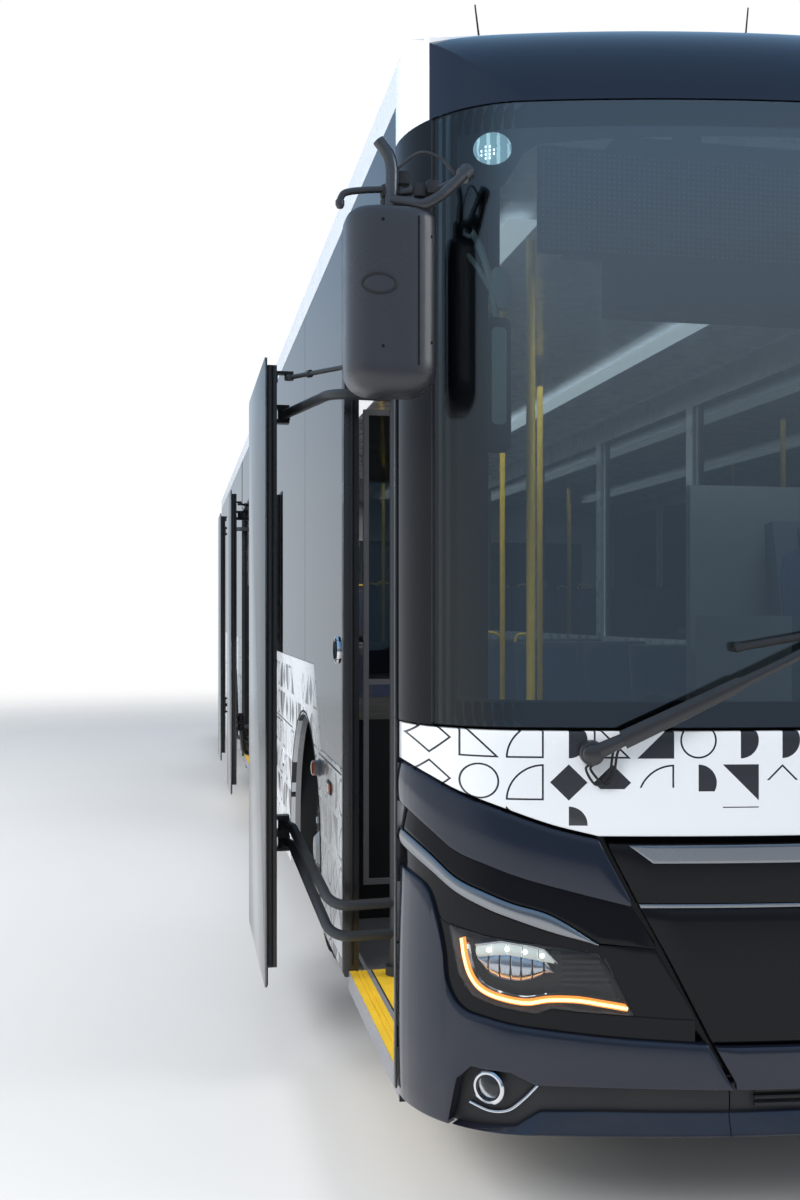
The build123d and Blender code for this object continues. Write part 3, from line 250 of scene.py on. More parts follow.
def piece(name, shape, material, body="root", slot=None, smooth=35, replaces=(), merge=0.0):
    # shape may be a list of shapes
    mesh = meshOf(name, joined(shape) if isinstance(shape, list) else shape, merge)
    obj = linked(name, mesh)
    mesh.materials.append(material)
    if smooth:
        smoothed(mesh, smooth)
    finishPiece(obj, body, replaces)
    return obj


def finishPiece(obj, body, replaces=()):
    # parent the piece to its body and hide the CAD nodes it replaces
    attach(obj, body)
    if replaces:
        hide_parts(*replaces)


def addNode(tree, kind, inputs={}, **values):
    # inputs by name or number: a node or socket is linked, anything else is set as the value
    node = tree.nodes.new(kind)
    for key, value in values.items():
        setattr(node, key, value)
    for key, value in inputs.items():
        source = value.outputs[0] if isinstance(value, bpy.types.Node) else value
        if isinstance(source, bpy.types.NodeSocket):
            tree.links.new(source, node.inputs[key])
        else:
            node.inputs[key].default_value = source
    return node


def newMaterial(name):
    made = bpy.data.materials.new(name)
    made.use_nodes = True
    made.node_tree.nodes.clear()
    return made, made.node_tree, addNode(made.node_tree, "ShaderNodeTexCoord").outputs["Object"]


def mathNode(tree, operation, *values, clamp=False):
    node = addNode(tree, "ShaderNodeMath", dict(enumerate(values)), operation=operation, use_clamp=clamp)
    return node.outputs[0]


def axesOf(tree, vector):
    return addNode(tree, "ShaderNodeSeparateXYZ", {0: vector}).outputs


def mixColour(tree, factor, a, b):
    a, b = ((*shade, 1) if isinstance(shade, tuple) else shade for shade in (a, b))
    return addNode(tree, "ShaderNodeMix", {0: factor, 6: a, 7: b}, data_type="RGBA").outputs[2]


def rangeOf(tree, value, low, high, toLow, toHigh, smooth=False):
    inputs = dict(enumerate((value, low, high, toLow, toHigh)))
    kind = "SMOOTHSTEP" if smooth else "LINEAR"
    return addNode(tree, "ShaderNodeMapRange", inputs, interpolation_type=kind).outputs[0]


def noiseOf(tree, vector, scale, detail=3.0, stretch=None):
    if stretch:
        vector = addNode(tree, "ShaderNodeMapping", {"Vector": vector, "Scale": stretch})
    return addNode(tree, "ShaderNodeTexNoise", {"Vector": vector, "Scale": scale,
                                                "Detail": detail}).outputs[0]


def surface(tree, sockets):
    shader = addNode(tree, "ShaderNodeBsdfPrincipled", sockets)
    addNode(tree, "ShaderNodeOutputMaterial", {0: shader})


def toned(colour, share):
    return tuple(min(1.0, c * share) for c in colour)


def finish(name, colour, rough=0.4, metal=0.0, coat=0.0, gloss=0.5, spread=0.12, scale=3.0, grain=0.0,
           grainScale=300.0, dirt=0.0, dirtTop=0.9, base=None):
    # painted, moulded or cast: tone and roughness drift, grain is bump, dirt gathers towards the road
    made, tree, where = newMaterial(name)
    if base:
        tint = base(tree, where)
    else:
        tint = mixColour(tree, noiseOf(tree, where, scale, 4.0), toned(colour, 1 - spread),
                         toned(colour, 1 + spread))
    shine = rangeOf(tree, noiseOf(tree, where, scale * 2.3, 5.0), 0.3, 0.7, max(0.02, rough - 0.05),
                    rough + 0.06)
    if dirt:
        low = rangeOf(tree, axesOf(tree, where)[2], 0.25, dirtTop, 1.0, 0.0, True)
        patch = rangeOf(tree, noiseOf(tree, where, 7.0, 8.0, (0.5, 0.5, 1.6)), 0.35, 0.75, 0.15, 1.0)
        film = mathNode(tree, "MULTIPLY", mathNode(tree, "MULTIPLY", low, patch), dirt)
        tint = mixColour(tree, film, tint, paints["grime"])
        shine = mathNode(tree, "ADD", shine, mathNode(tree, "MULTIPLY", film, 0.5), clamp=True)
    sockets = {"Base Color": tint, "Roughness": shine, "Metallic": metal, "Coat Weight": coat,
               "Coat Roughness": 0.03, "Specular IOR Level": gloss}
    if grain:
        height = noiseOf(tree, where, grainScale, 2.0)
        sockets["Normal"] = addNode(tree, "ShaderNodeBump", {"Strength": grain, "Distance": 0.002,
                                                             "Height": height})
    surface(tree, sockets)
    return made


def clearGlass(name, tint, gloss=1.5, extra=0.0, dullFrom=None):
    # a thin pane: what lies behind it, under a plain reflection that is weaker beyond dullFrom to the sides
    made, tree, where = newMaterial(name)
    smear = mixColour(tree, noiseOf(tree, where, 1.7, 4.0), tuple(c * 0.92 for c in tint), tint)
    through = addNode(tree, "ShaderNodeBsdfTransparent", {0: smear})
    mirrored = addNode(tree, "ShaderNodeBsdfGlossy", {"Roughness": 0.0})
    share = mathNode(tree, "ADD", addNode(tree, "ShaderNodeFresnel", {"IOR": gloss}), extra, clamp=True)
    if dullFrom:
        aside = mathNode(tree, "ABSOLUTE", axesOf(tree, where)[1])
        share = mathNode(tree, "MULTIPLY", share, rangeOf(tree, aside, dullFrom, dullFrom + 0.15, 1.0, 0.3,
                                                          True))
    mix = addNode(tree, "ShaderNodeMixShader", {0: share, 1: through, 2: mirrored})
    addNode(tree, "ShaderNodeOutputMaterial", {0: mix})
    return made


def glow(name, colour, strength, body=(0.8, 0.8, 0.8)):
    made, tree, where = newMaterial(name)
    shade = mixColour(tree, noiseOf(tree, where, 40.0), tuple(c * 0.9 for c in colour), colour)
    surface(tree, {"Base Color": (*body, 1), "Roughness": 0.25, "Emission Color": shade,
                   "Emission Strength": strength})
    return made


livery = {"seed": 7.0, "half": 0.43, "ink": (0.02, 0.02, 0.024), "inside": (0.3, 0.31, 0.32)}


def liveryTint(axisA, topA, cellSize, line, fade):
    # generic tiling of rings, quarter discs, diamonds and triangles, dark ink on white
    # axisA runs along the skin, topA is the height where the tiling ends
    # fade is (axis, place where no cell is filled, place where all are)
    def build(tree, where):
        place = axesOf(tree, where)

        do = partial(mathNode, tree)
        times, plus, minus, under, over = (partial(do, operation) for operation in (
            "MULTIPLY", "ADD", "SUBTRACT", "LESS_THAN", "GREATER_THAN"))

        def between(value, low, high):
            return times(over(value, low), under(value, high))

        a = do("DIVIDE", place[axisA], cellSize)
        b = do("DIVIDE", minus(place[2], topA), cellSize)
        cellA, cellB = do("FLOOR", a), do("FLOOR", b)
        cell = addNode(tree, "ShaderNodeCombineXYZ", {0: cellA, 1: cellB, 2: livery["seed"]})
        pick = addNode(tree, "ShaderNodeTexWhiteNoise", {"Vector": cell}, noise_dimensions="3D")
        chance = axesOf(tree, pick.outputs["Color"])

        def withinCell(value, floor, draw):  # -0.5 to 0.5 over the cell, turned round by half of the draws
            flip = minus(times(over(draw, 0.5), 2.0), 1.0)
            return times(minus(minus(value, floor), 0.5), flip)

        def lengthOf(p, q):
            return do("SQRT", plus(times(p, p), times(q, q)))

        u, v = withinCell(a, cellA, chance[0]), withinCell(b, cellB, chance[1])
        half = livery["half"]
        au, av = do("ABSOLUTE", u), do("ABSOLUTE", v)
        side = do("MAXIMUM", au, av)
        r = lengthOf(u, v)
        cu, cv = plus(u, half), plus(v, half)
        corner = lengthOf(cu, cv)
        diamond, slope = plus(au, av), plus(u, v)
        inside = under(side, half)
        quarter = times(inside, under(corner, 2 * half))
        low = do("MINIMUM", cu, cv)
        triangle = times(inside, under(slope, 0.0))
        motifs = [
            quarter,
            times(quarter, do("MAXIMUM", under(low, line), over(corner, 2 * half - line))),
            between(r, half - line, half),
            triangle,
            times(triangle, do("MAXIMUM", under(low, line), over(slope, -line * 1.4))),
            times(inside, under(diamond, half)),
            between(diamond, half - line * 1.4, half),
            times(under(r, half), over(u, 0.0)),
        ]
        shares = (0.0, 0.16, 0.32, 0.44, 0.58, 0.72, 0.8, 0.9, 1.0)
        inked = None
        for motif, start, stop in zip(motifs, shares, shares[1:]):
            part = times(motif, between(pick.outputs["Value"], start, stop))
            inked = part if inked is None else plus(inked, part)
        keep = rangeOf(tree, place[fade[0]], fade[1], fade[2], 0.0, 1.0)
        inked = times(inked, under(chance[2], keep))
        inked = times(inked, under(place[2], topA))
        tint = mixColour(tree, inked, paints["white"], livery["ink"])
        if axisA:
            return tint
        outer = over(do("ABSOLUTE", place[1]), 1.255)  # the wall's inner face is plain grey
        return mixColour(tree, outer, livery["inside"], tint)
    return build


print("materials")
whitePaint = finish("whitePaint", paints["white"], 0.28, coat=0.5, spread=0.02, dirt=0.32)
sidePaint = finish("sidePaint", paints["white"], 0.28, coat=0.5, spread=0.02, dirt=0.28, dirtTop=0.8,
                   base=liveryTint(0, 1.262, 0.152, 0.075, (0, -8.0, 4.2)))
panelPaint = finish("panelPaint", paints["white"], 0.22, coat=0.7, spread=0.02,
                    base=liveryTint(1, 1.262, 0.098, 0.045, (2, 0.985, 1.15)))
navyPaint = finish("navyPaint", paints["navy"], 0.2, metal=0.3, coat=0.7, gloss=0.3, spread=0.18, scale=1.4,
                   dirt=0.18, dirtTop=0.6)
glossBlack = finish("glossBlack", paints["glossBlack"], 0.06, coat=0.1, gloss=0.16, spread=0.3, scale=2.0)
charcoalPaint = finish("charcoalPaint", paints["charcoal"], 0.42, spread=0.15, grain=0.15, grainScale=500.0)
framePaint = finish("framePaint", paints["frame"], 0.6, spread=0.3, scale=9.0, grain=0.4, dirt=0.8,
                    dirtTop=0.8)
castIron = finish("castIron", (0.03, 0.028, 0.027), 0.65, metal=0.3, spread=0.4, scale=12.0, grain=0.8,
                  dirt=0.6)
blackPlastic = finish("blackPlastic", (0.013, 0.013, 0.014), 0.45, spread=0.2, grain=0.5, grainScale=700.0)
greyPlastic = finish("greyPlastic", (0.14, 0.145, 0.155), 0.5, spread=0.1, grain=0.4, grainScale=500.0)
seatShell = finish("seatShell", (0.05, 0.055, 0.065), 0.45, spread=0.15, grain=0.3)
floorVinyl = finish("floorVinyl", (0.085, 0.09, 0.1), 0.55, spread=0.5, scale=220.0, grain=0.3)
yellowGrip = finish("yellowGrip", paints["yellow"], 0.55, scale=14.0, grain=0.9, grainScale=260.0)
rubber = finish("rubber", paints["rubber"], 0.7, spread=0.3, scale=8.0, grain=0.5)
tyreRubber = finish("tyreRubber", (0.014, 0.0135, 0.013), 0.78, spread=0.35, scale=7.0, grain=0.6, dirt=0.35)
wheelSteel = finish("wheelSteel", (0.32, 0.33, 0.34), 0.42, metal=0.5, spread=0.15, scale=8.0, dirt=0.55)
railYellow = finish("railYellow", (0.8, 0.5, 0.03), 0.3, coat=0.5, spread=0.05)
satinSteel = finish("satinSteel", paints["silver"], 0.22, metal=1.0, spread=0.05)
chrome = finish("chrome", (0.78, 0.78, 0.8), 0.07, metal=1.0, spread=0.04)
windscreenGlass = clearGlass("windscreenGlass", (0.6, 0.68, 0.7), extra=0.15, dullFrom=1.02)
sideGlass = clearGlass("sideGlass", (0.13, 0.155, 0.17), extra=0.1)

nodeFinish = {name: made for made, names in (
    (rubber, "air_springs"), (floorVinyl, "cabin_floor"), (framePaint, "chassis_frame chassis_rear"),
    (glossBlack, "bumper_centre front_frame"), (navyPaint, "bumper_corners roof_front_cap"),
    (greyPlastic, "cab_door cab_partition roof_hatch_front roof_hatch_rear"),
    (blackPlastic, "dashboard mirrors sign_box steering_wheel wheel_housings wipers"),
    (castIron, "engine_block front_axle knuckle_left knuckle_right rear_axle"),
    (whitePaint, "engine_lid rear_wall roof_panel roof_unit"), (panelPaint, "front_panel"),
    (yellowGrip, "door_thresholds"),
    (sidePaint, "fuel_flap side_wall_left side_wall_right"), (railYellow, "handrails"), (chrome, "lamps"),
    (seatShell, "seats"), (sideGlass, "windows"), (windscreenGlass, "windscreen"),
) for name in names.split()}
for name, obj in nodes.items():
    usual = wheelSteel if name.startswith("wheel") else charcoalPaint
    made = nodeFinish.get(name, tyreRubber if name.startswith("tyre") else usual)
    obj.data.materials.clear()
    obj.data.materials.append(made)

# Stage, lights and camera
stageSizes = {
    "floor": 80.0, "fade": (7.0, 16.0), "camera": (8.57, -1.826, 1.506), "turn": 79.14, "focal": 35.01,
    "shiftY": 14 / 1200, "horizon": (0.62, 0.68, 0.74), "sky": (0.24, 0.43, 0.68), "ahead": (0.16, 0.22, 0.3),
}


def makeStage():
    half = stageSizes["floor"] / 2
    mesh = bpy.data.meshes.new("studioFloor")
    corners = [(-half, -half, 0), (half, -half, 0), (half, half, 0), (-half, half, 0)]
    mesh.from_pydata(corners, [], [(0, 1, 2, 3)])
    floor = linked("studioFloor", mesh)
    paint = finish("floorPaint", (0.72, 0.72, 0.72), 0.75, spread=0.02, scale=0.7)
    tree = paint.node_tree
    where = addNode(tree, "ShaderNodeTexCoord").outputs["Object"]
    far = addNode(tree, "ShaderNodeVectorMath", {0: where}, operation="LENGTH").outputs["Value"]
    out = next(node for node in tree.nodes if node.type == "OUTPUT_MATERIAL").inputs[0]
    solid, clear = out.links[0].from_socket, addNode(tree, "ShaderNodeBsdfTransparent")
    fade = rangeOf(tree, far, *stageSizes["fade"], 0.0, 1.0, True)
    mix = addNode(tree, "ShaderNodeMixShader", {0: fade, 1: solid, 2: clear})
    tree.links.new(mix.outputs[0], out)
    mesh.materials.append(paint)

    world = bpy.data.worlds.new("studioWorld")
    bpy.context.scene.world = world
    world.use_nodes = True
    tree = world.node_tree
    tree.nodes.clear()
    rays = addNode(tree, "ShaderNodeLightPath").outputs
    seen = mathNode(tree, "MAXIMUM", rays["Is Camera Ray"], rays["Is Transmission Ray"])
    way = axesOf(tree, addNode(tree, "ShaderNodeTexCoord").outputs["Generated"])
    rise = rangeOf(tree, way[2], 0.0, 0.55, 0.0, 1.0, True)
    sky = mixColour(tree, rise, stageSizes["horizon"], stageSizes["sky"])
    ahead = rangeOf(tree, way[0], 0.2, 0.95, 0.0, 1.0, True)
    ahead = mathNode(tree, "MULTIPLY", ahead, rangeOf(tree, way[2], 0.05, 0.4, 1.0, 0.0, True))
    sky = mixColour(tree, ahead, sky, stageSizes["ahead"])
    shades = (((0.9, 0.95, 1.0, 1), 0.75), (sky, 1.0), ((1.0, 1.0, 1.0, 1), 1.0))
    shown, mirrored, backdrop = (addNode(tree, "ShaderNodeBackground", {0: a, 1: b}) for a, b in shades)
    for factor, shader in ((rays["Is Glossy Ray"], mirrored), (seen, backdrop)):
        shown = addNode(tree, "ShaderNodeMixShader", {0: factor, 1: shown, 2: shader})
    addNode(tree, "ShaderNodeOutputWorld", {0: shown})

    for name, place, aim, size, power in (
        ("keySoft", (11.0, -7.5, 7.0), (4.0, -0.8, 1.2), 5.0, 620),
        ("kerbSoft", (1.0, -9.0, 5.5), (0.0, -1.0, 1.2), 7.0, 520),
        ("driverSoft", (9.0, 8.0, 6.0), (3.0, 1.0, 1.4), 6.0, 320),
        ("cabSoft", (4.9, 0.3, 2.84), (5.1, 0.3, 0.0), 0.9, 26),
        ("frontSaloonSoft", (1.8, 0.0, 2.84), (1.8, 0.0, 0.0), 2.4, 45),
        ("rearSaloonSoft", (-3.6, 0.0, 2.84), (-3.6, 0.0, 0.0), 2.4, 40),
    ):
        data = bpy.data.lights.new(name, "AREA")
        data.shape = "RECTANGLE"
        data.size = size
        data.size_y = size * 0.7
        data.energy = power
        lamp = linked(name, data)
        lamp.location = place
        lamp.rotation_euler = (Vector(aim) - Vector(place)).to_track_quat("-Z", "Y").to_euler()
        lamp.visible_glossy = name == "driverSoft"

    data = bpy.data.cameras.new("photoCamera")
    data.sensor_fit = "VERTICAL"
    data.sensor_height = 36.0
    data.lens = stageSizes["focal"]
    data.shift_y = stageSizes["shiftY"]
    data.clip_end = 200
    camera = linked("photoCamera", data)
    camera.location = stageSizes["camera"]
    camera.rotation_euler = (math.radians(90), 0, math.radians(stageSizes["turn"]))
    bpy.context.scene.camera = camera
    bpy.context.scene.view_settings.view_transform = "Standard"


# Front mask: outlines are (distance from the middle, height), from the side inwards
def heightAt(line, y):
    for (y0, z0), (y1, z1) in zip(line, line[1:]):
        if y <= y0 and y >= y1:
            return z0 + (z1 - z0) * (y0 - y) / max(y0 - y1, 1e-9)
    return line[0][1] if y > line[0][0] else line[-1][1]


def easedLine(line, steps=6):
    return [(p.x, p.y) for p in smoothRun([(y, z, 0) for y, z in line], steps)]


def facePatch(side, top, low, inset=0.0, depth=0.02, lip=0.004, crown=0.0, step=0.015, rows=8, cap=None):
    # a plate over the outline between two lines; cap is a line that the top never rises above
    first, last = min(top[0][0], low[0][0]), max(top[-1][0], low[-1][0])
    marks = {round(y, 5) for y, z in list(top) + list(low) + list(cap or []) if last <= y <= first}
    count = max(2, int((first - last) / step))
    marks |= {round(first + (last - first) * k / count, 5) for k in range(count + 1)}
    marks |= {round(first - lip * k, 5) for k in (0.3, 1.0)} | {round(last + lip * k, 5) for k in (0.3, 1.0)}
    marks = sorted((y for y in marks if last - 1e-6 <= y <= first + 1e-6), reverse=True)
    front, back = [], []

    def drop(distance):
        gap = 1 - min(1.0, max(0.0, distance / lip))
        return lip * (1 - math.sqrt(1 - gap * gap))

    for y in marks:
        zTop, zLow = heightAt(top, y), heightAt(low, y)
        if cap:
            zTop = min(zTop, heightAt(cap, y))
        zTop = max(zTop, zLow)
        height = zTop - zLow
        edge = [min(lip * k, height / 2) for k in (0, 0.15, 0.45, 1.0)]
        inner = [edge[-1] + (height - 2 * edge[-1]) * k / rows for k in range(1, rows)]
        s = side * arcOf(y)
        end = drop(min(first - y, y - last))
        frontRow, backRow = [], []
        for d in edge + inner + [height - e for e in reversed(edge)]:
            v = d / height if height > 1e-6 else 0.5
            base = inset(y, v) if callable(inset) else inset
            rise = crown * (1 - (2 * v - 1) ** 2)
            cut = max(drop(min(d, height - d)), end) if height > 1e-6 else lip
            frontRow.append(around(s, zLow + d, base - rise + cut))
            backRow.append(around(s, zLow + d, base + depth))
        front.append(frontRow)
        back.append(backRow)
    return shellShape(front, back)


mask = {
    "side": 1.2749,
    "top": [(1.2749, 1.134), (1.226, 1.107), (1.171, 1.078), (1.08, 1.045), (0.97, 1.007), (0.864, 0.981)],
    "crease": [(1.2749, 1.034), (1.226, 0.987), (1.177, 0.944), (1.113, 0.918), (1.028, 0.888),
               (0.911, 0.857), (0.791, 0.827)],
    "accentTop": [(1.2749, 0.966), (1.226, 0.924), (1.177, 0.879), (1.113, 0.851), (1.057, 0.83),
                  (0.97, 0.804), (0.864, 0.74)],
    "accentLow": [(1.2749, 0.927), (1.226, 0.886), (1.177, 0.845), (1.113, 0.814), (1.057, 0.794),
                  (0.97, 0.765), (0.864, 0.736)],
    "field": [(1.2749, 0.872), (1.236, 0.842), (1.217, 0.776), (1.204, 0.704), (1.195, 0.619),
              (1.166, 0.572), (1.113, 0.557), (1.028, 0.542), (0.835, 0.521), (0.615, 0.506)],
    "joint": [(0.864, 0.981), (0.791, 0.845), (0.735, 0.743), (0.675, 0.628), (0.615, 0.512), (0.554, 0.402)],
    "lowerEdge": [(1.2749, 0.29), (1.192, 0.29), (1.174, 0.404), (1.145, 0.44), (1.063, 0.436),
                  (1.003, 0.408), (0.853, 0.406), (0.554, 0.399)],
    "lipTop": [(1.187, 0.292), (1.05, 0.305), (0.993, 0.34), (0.853, 0.343), (0.56, 0.34)],
}
lampTop = [(1.194, 0.765), (1.124, 0.75), (0.993, 0.734), (0.864, 0.715), (0.823, 0.652), (0.783, 0.571)]
lampLow = [(1.194, 0.765), (1.174, 0.65), (1.145, 0.604), (1.086, 0.585), (1.005, 0.573), (0.97, 0.586),
           (0.911, 0.58), (0.783, 0.571)]
cornerCap = [(1.2749, 1.2), (0.8641, 1.2)] + mask["joint"]


def onFront(y, z, out):
    return around(math.copysign(arcOf(abs(y)), y), z, -out)


def alongFace(side, line, inset):
    return [around(side * arcOf(y), z, inset) for y, z in line]


def facePiece(name, side, top, low, material, slot=None, replaces=(), **more):
    piece(name + "_" + tags[side], facePatch(side, top, low, **more), material, slot=slot, replaces=replaces)


def makeMaskSide(side):
    tag, edge = tags[side], mask["side"]
    keys = ("crease", "accentTop", "accentLow", "field")
    crease, accentTop, accentLow, field = (easedLine(mask[key]) for key in keys)
    facePiece("maskUpper", side, easedLine(mask["top"]) + [(0.791, 0.845)], crease, navyPaint,
              replaces=("bumper_corners",), inset=lambda y, v: 0.004 * v, depth=0.03, crown=0.004,
              cap=cornerCap, rows=12)
    facePiece("maskBand", side, crease + [(0.735, 0.742)], accentTop + [(0.735, 0.728)], glossBlack,
              inset=lambda y, v: 0.008 + 0.01 * v, cap=cornerCap)
    facePiece("maskStrip", side, accentTop, accentLow, satinSteel, inset=0.004, depth=0.012, crown=0.004,
              lip=0.003, rows=6)
    start, end = [(edge, 0.8), (1.215, 0.775)], [(0.7, 0.565), (0.6425, 0.562)]
    flat = {"inset": 0.014, "depth": 0.016, "lip": 0.001, "cap": cornerCap}
    above = facePatch(side, accentLow + [(0.735, 0.728), (0.64, 0.565)], start + lampTop + end, **flat)
    below = facePatch(side, start + lampLow + end, field + [(0.6, 0.505)], **flat)
    piece("maskField_" + tag, [above, below], glossBlack)
    facePiece("maskLower", side, field + [(0.554, 0.455)], mask["lowerEdge"], navyPaint,
              inset=lambda y, v: 0.004 * v * v, depth=0.03, crown=0.003, lip=0.006, cap=cornerCap, rows=12)
    pocketTop = [(1.195, 0.3), (1.178, 0.41), (1.145, 0.448), (1.063, 0.444), (0.993, 0.412), (0.853, 0.41),
                 (0.556, 0.404)]
    facePiece("maskPocket", side, pocketTop, [(1.195, 0.291), (0.556, 0.291)], blackPlastic,
              slot="trim_black", inset=0.036, depth=0.018, lip=0.001)
    facePiece("maskLip", side, mask["lipTop"], [(1.187, 0.29), (0.56, 0.29)], navyPaint,
              inset=lambda y, v: 0.006 + 0.02 * v, depth=0.025)
    line = [(1.158, 0.345), (1.113, 0.332), (1.069, 0.338), (1.032, 0.366), (1.0, 0.4)]
    piece("pocketLine_" + tag, tubeShape(smoothRun(alongFace(side, line, 0.03), 6), 0.004), chrome)


lampSizes = {"lens": 0.01, "depth": 0.058, "tube": 0.0085, "ribs": 7, "facets": 5, "slats": 6}


def makeHeadlamp(side):
    tag = tags[side]
    facePiece("lampLens", side, lampTop, lampLow, lensGlass, replaces=("lamps",), inset=lampSizes["lens"],
              depth=0.003, lip=0.002, crown=0.002)
    loop = easedLine(lampTop, 4) + list(reversed(easedLine(lampLow, 4)))[1:-1]
    middle = Vector((0.985, 0.665))
    rings = []
    deep = lampSizes["depth"]
    for inset, shrink in ((0.014, 0.0), (0.014, 0.006), (deep, 0.022), (deep, 0.0)):
        shrunk = [Vector(p) - (Vector(p) - middle).normalized() * shrink for p in loop]
        rings.append(alongFace(side, shrunk, inset))
    tray = gridShape(rings, wrapRows=True, wrapColumns=True)
    piece("lampTray_" + tag, tray, blackPlastic, slot="lamp", smooth=50)
    facePiece("lampBack", side, lampTop, lampLow, glossBlack, slot="lamp", inset=deep - 0.003, depth=0.004,
              lip=0.001)

    guide = [(1.17, 0.735), (1.164, 0.69), (1.152, 0.65), (1.13, 0.622), (1.09, 0.606), (1.028, 0.597),
             (0.975, 0.605), (0.911, 0.605), (0.85, 0.596), (0.797, 0.587)]
    radius = lampSizes["tube"]
    for name, inset, thick, sides, material in (
        ("lampGuide_", 0.022, radius, 12, amberGlow),
        ("lampGuideCore_", 0.016, 0.0042, 8, warmGlow),
        ("lampGuideBed_", 0.031, radius * 1.5, 8, chrome),
    ):
        piece(name + tag, tubeShape(smoothRun(alongFace(side, guide, inset), 6), thick, sides), material)

    clusterTop = [(1.146, 0.724), (1.086, 0.738), (1.017, 0.73), (0.985, 0.722), (0.955, 0.69)]
    clusterLow = [(1.146, 0.69), (1.13, 0.655), (1.086, 0.64), (1.03, 0.638), (0.99, 0.65), (0.955, 0.69)]
    reach, ribs, facets = 0.186, [], []  # reach is the cluster's width
    for k in range(lampSizes["ribs"]):
        step = reach / lampSizes["ribs"]
        ys = (1.144 - step * k, 1.144 - step * (k + 1) + 0.0015)
        top = [(y, heightAt(clusterTop, y) - 0.031) for y in ys]
        low = [(y, min(heightAt(clusterLow, y), heightAt(top, y) - 0.002)) for y in ys]
        ribs.append(facePatch(side, top, low, inset=0.04, depth=0.01, lip=0.003, crown=0.008, step=0.004,
                              rows=5))
    piece("lampRibs_" + tag, ribs, chrome)
    # the facets glow faintly in pale green-white: a painted highlight standing in for light caught by the
    # clear crystal
    for k in range(lampSizes["facets"]):
        step = reach / lampSizes["facets"]
        ys = (1.146 - step * k, 1.146 - step * (k + 1) + 0.002)
        top = [(y, heightAt(clusterTop, y) - 0.002) for y in ys]
        low = [(y, max(z - 0.034, heightAt(clusterLow, y) + 0.001)) for y, z in top]
        facets.append(facePatch(side, top, low, inset=0.036, depth=0.01, lip=0.005, crown=0.009, step=0.005,
                                rows=5))
    piece("lampFacets_" + tag, facets, crystalPaintedHighlight)
    facePiece("lampHood", side, clusterTop, [(y, z - 0.006) for y, z in clusterTop], chrome, inset=0.026,
              depth=0.026, lip=0.002)
    bulbs = []
    for y in (1.115, 1.072, 1.029, 0.99):
        z = heightAt(clusterTop, y) - 0.019
        at, face = around(side * arcOf(y), z, 0.04), around(side * arcOf(y), z, 0.0)
        bulbs.append(turnedShape([(0, 17), (3.5, 16), (6, 12), (0, 10)], at, face - at, 12))
    piece("lampLeds_" + tag, bulbs, whiteGlow)
    slats = []
    for k in range(lampSizes["slats"]):
        near, far = 0.945, 0.815 + 0.006 * k
        line = [(near + (far - near) * n / 8, 0.632 + 0.014 * k) for n in range(9)]
        slats.append(tubeShape(alongFace(side, line, 0.045), 0.003, 6))
    piece("lampSlats_" + tag, slats, charcoalPaint, slot="lamp")


def makeFog(side):
    turn = math.radians(38)
    axis = (math.cos(turn), side * math.sin(turn), 0)
    centre = around(side * arcOf(1.112), 0.393, 0.012)
    ring = [(29, -45), (29, -2), (31, 2), (36, 3), (40, 0), (40, -45)]
    bowl = [(0, -40), (14, -37), (24, -22), (28.8, -6), (28.8, -44), (0, -44)]
    dome = [(0, 4), (12, 3), (22, 0.5), (28.8, -4), (28.8, -6), (22, -2), (0, 1)]
    for name, profile, sides, material in (("fogRing_", ring, 40, chrome), ("fogBowl_", bowl, 32, satinSteel),
                                           ("fogGlass_", dome, 32, lensGlass)):
        piece(name + tags[side], turnedShape(profile, centre, axis, sides), material)


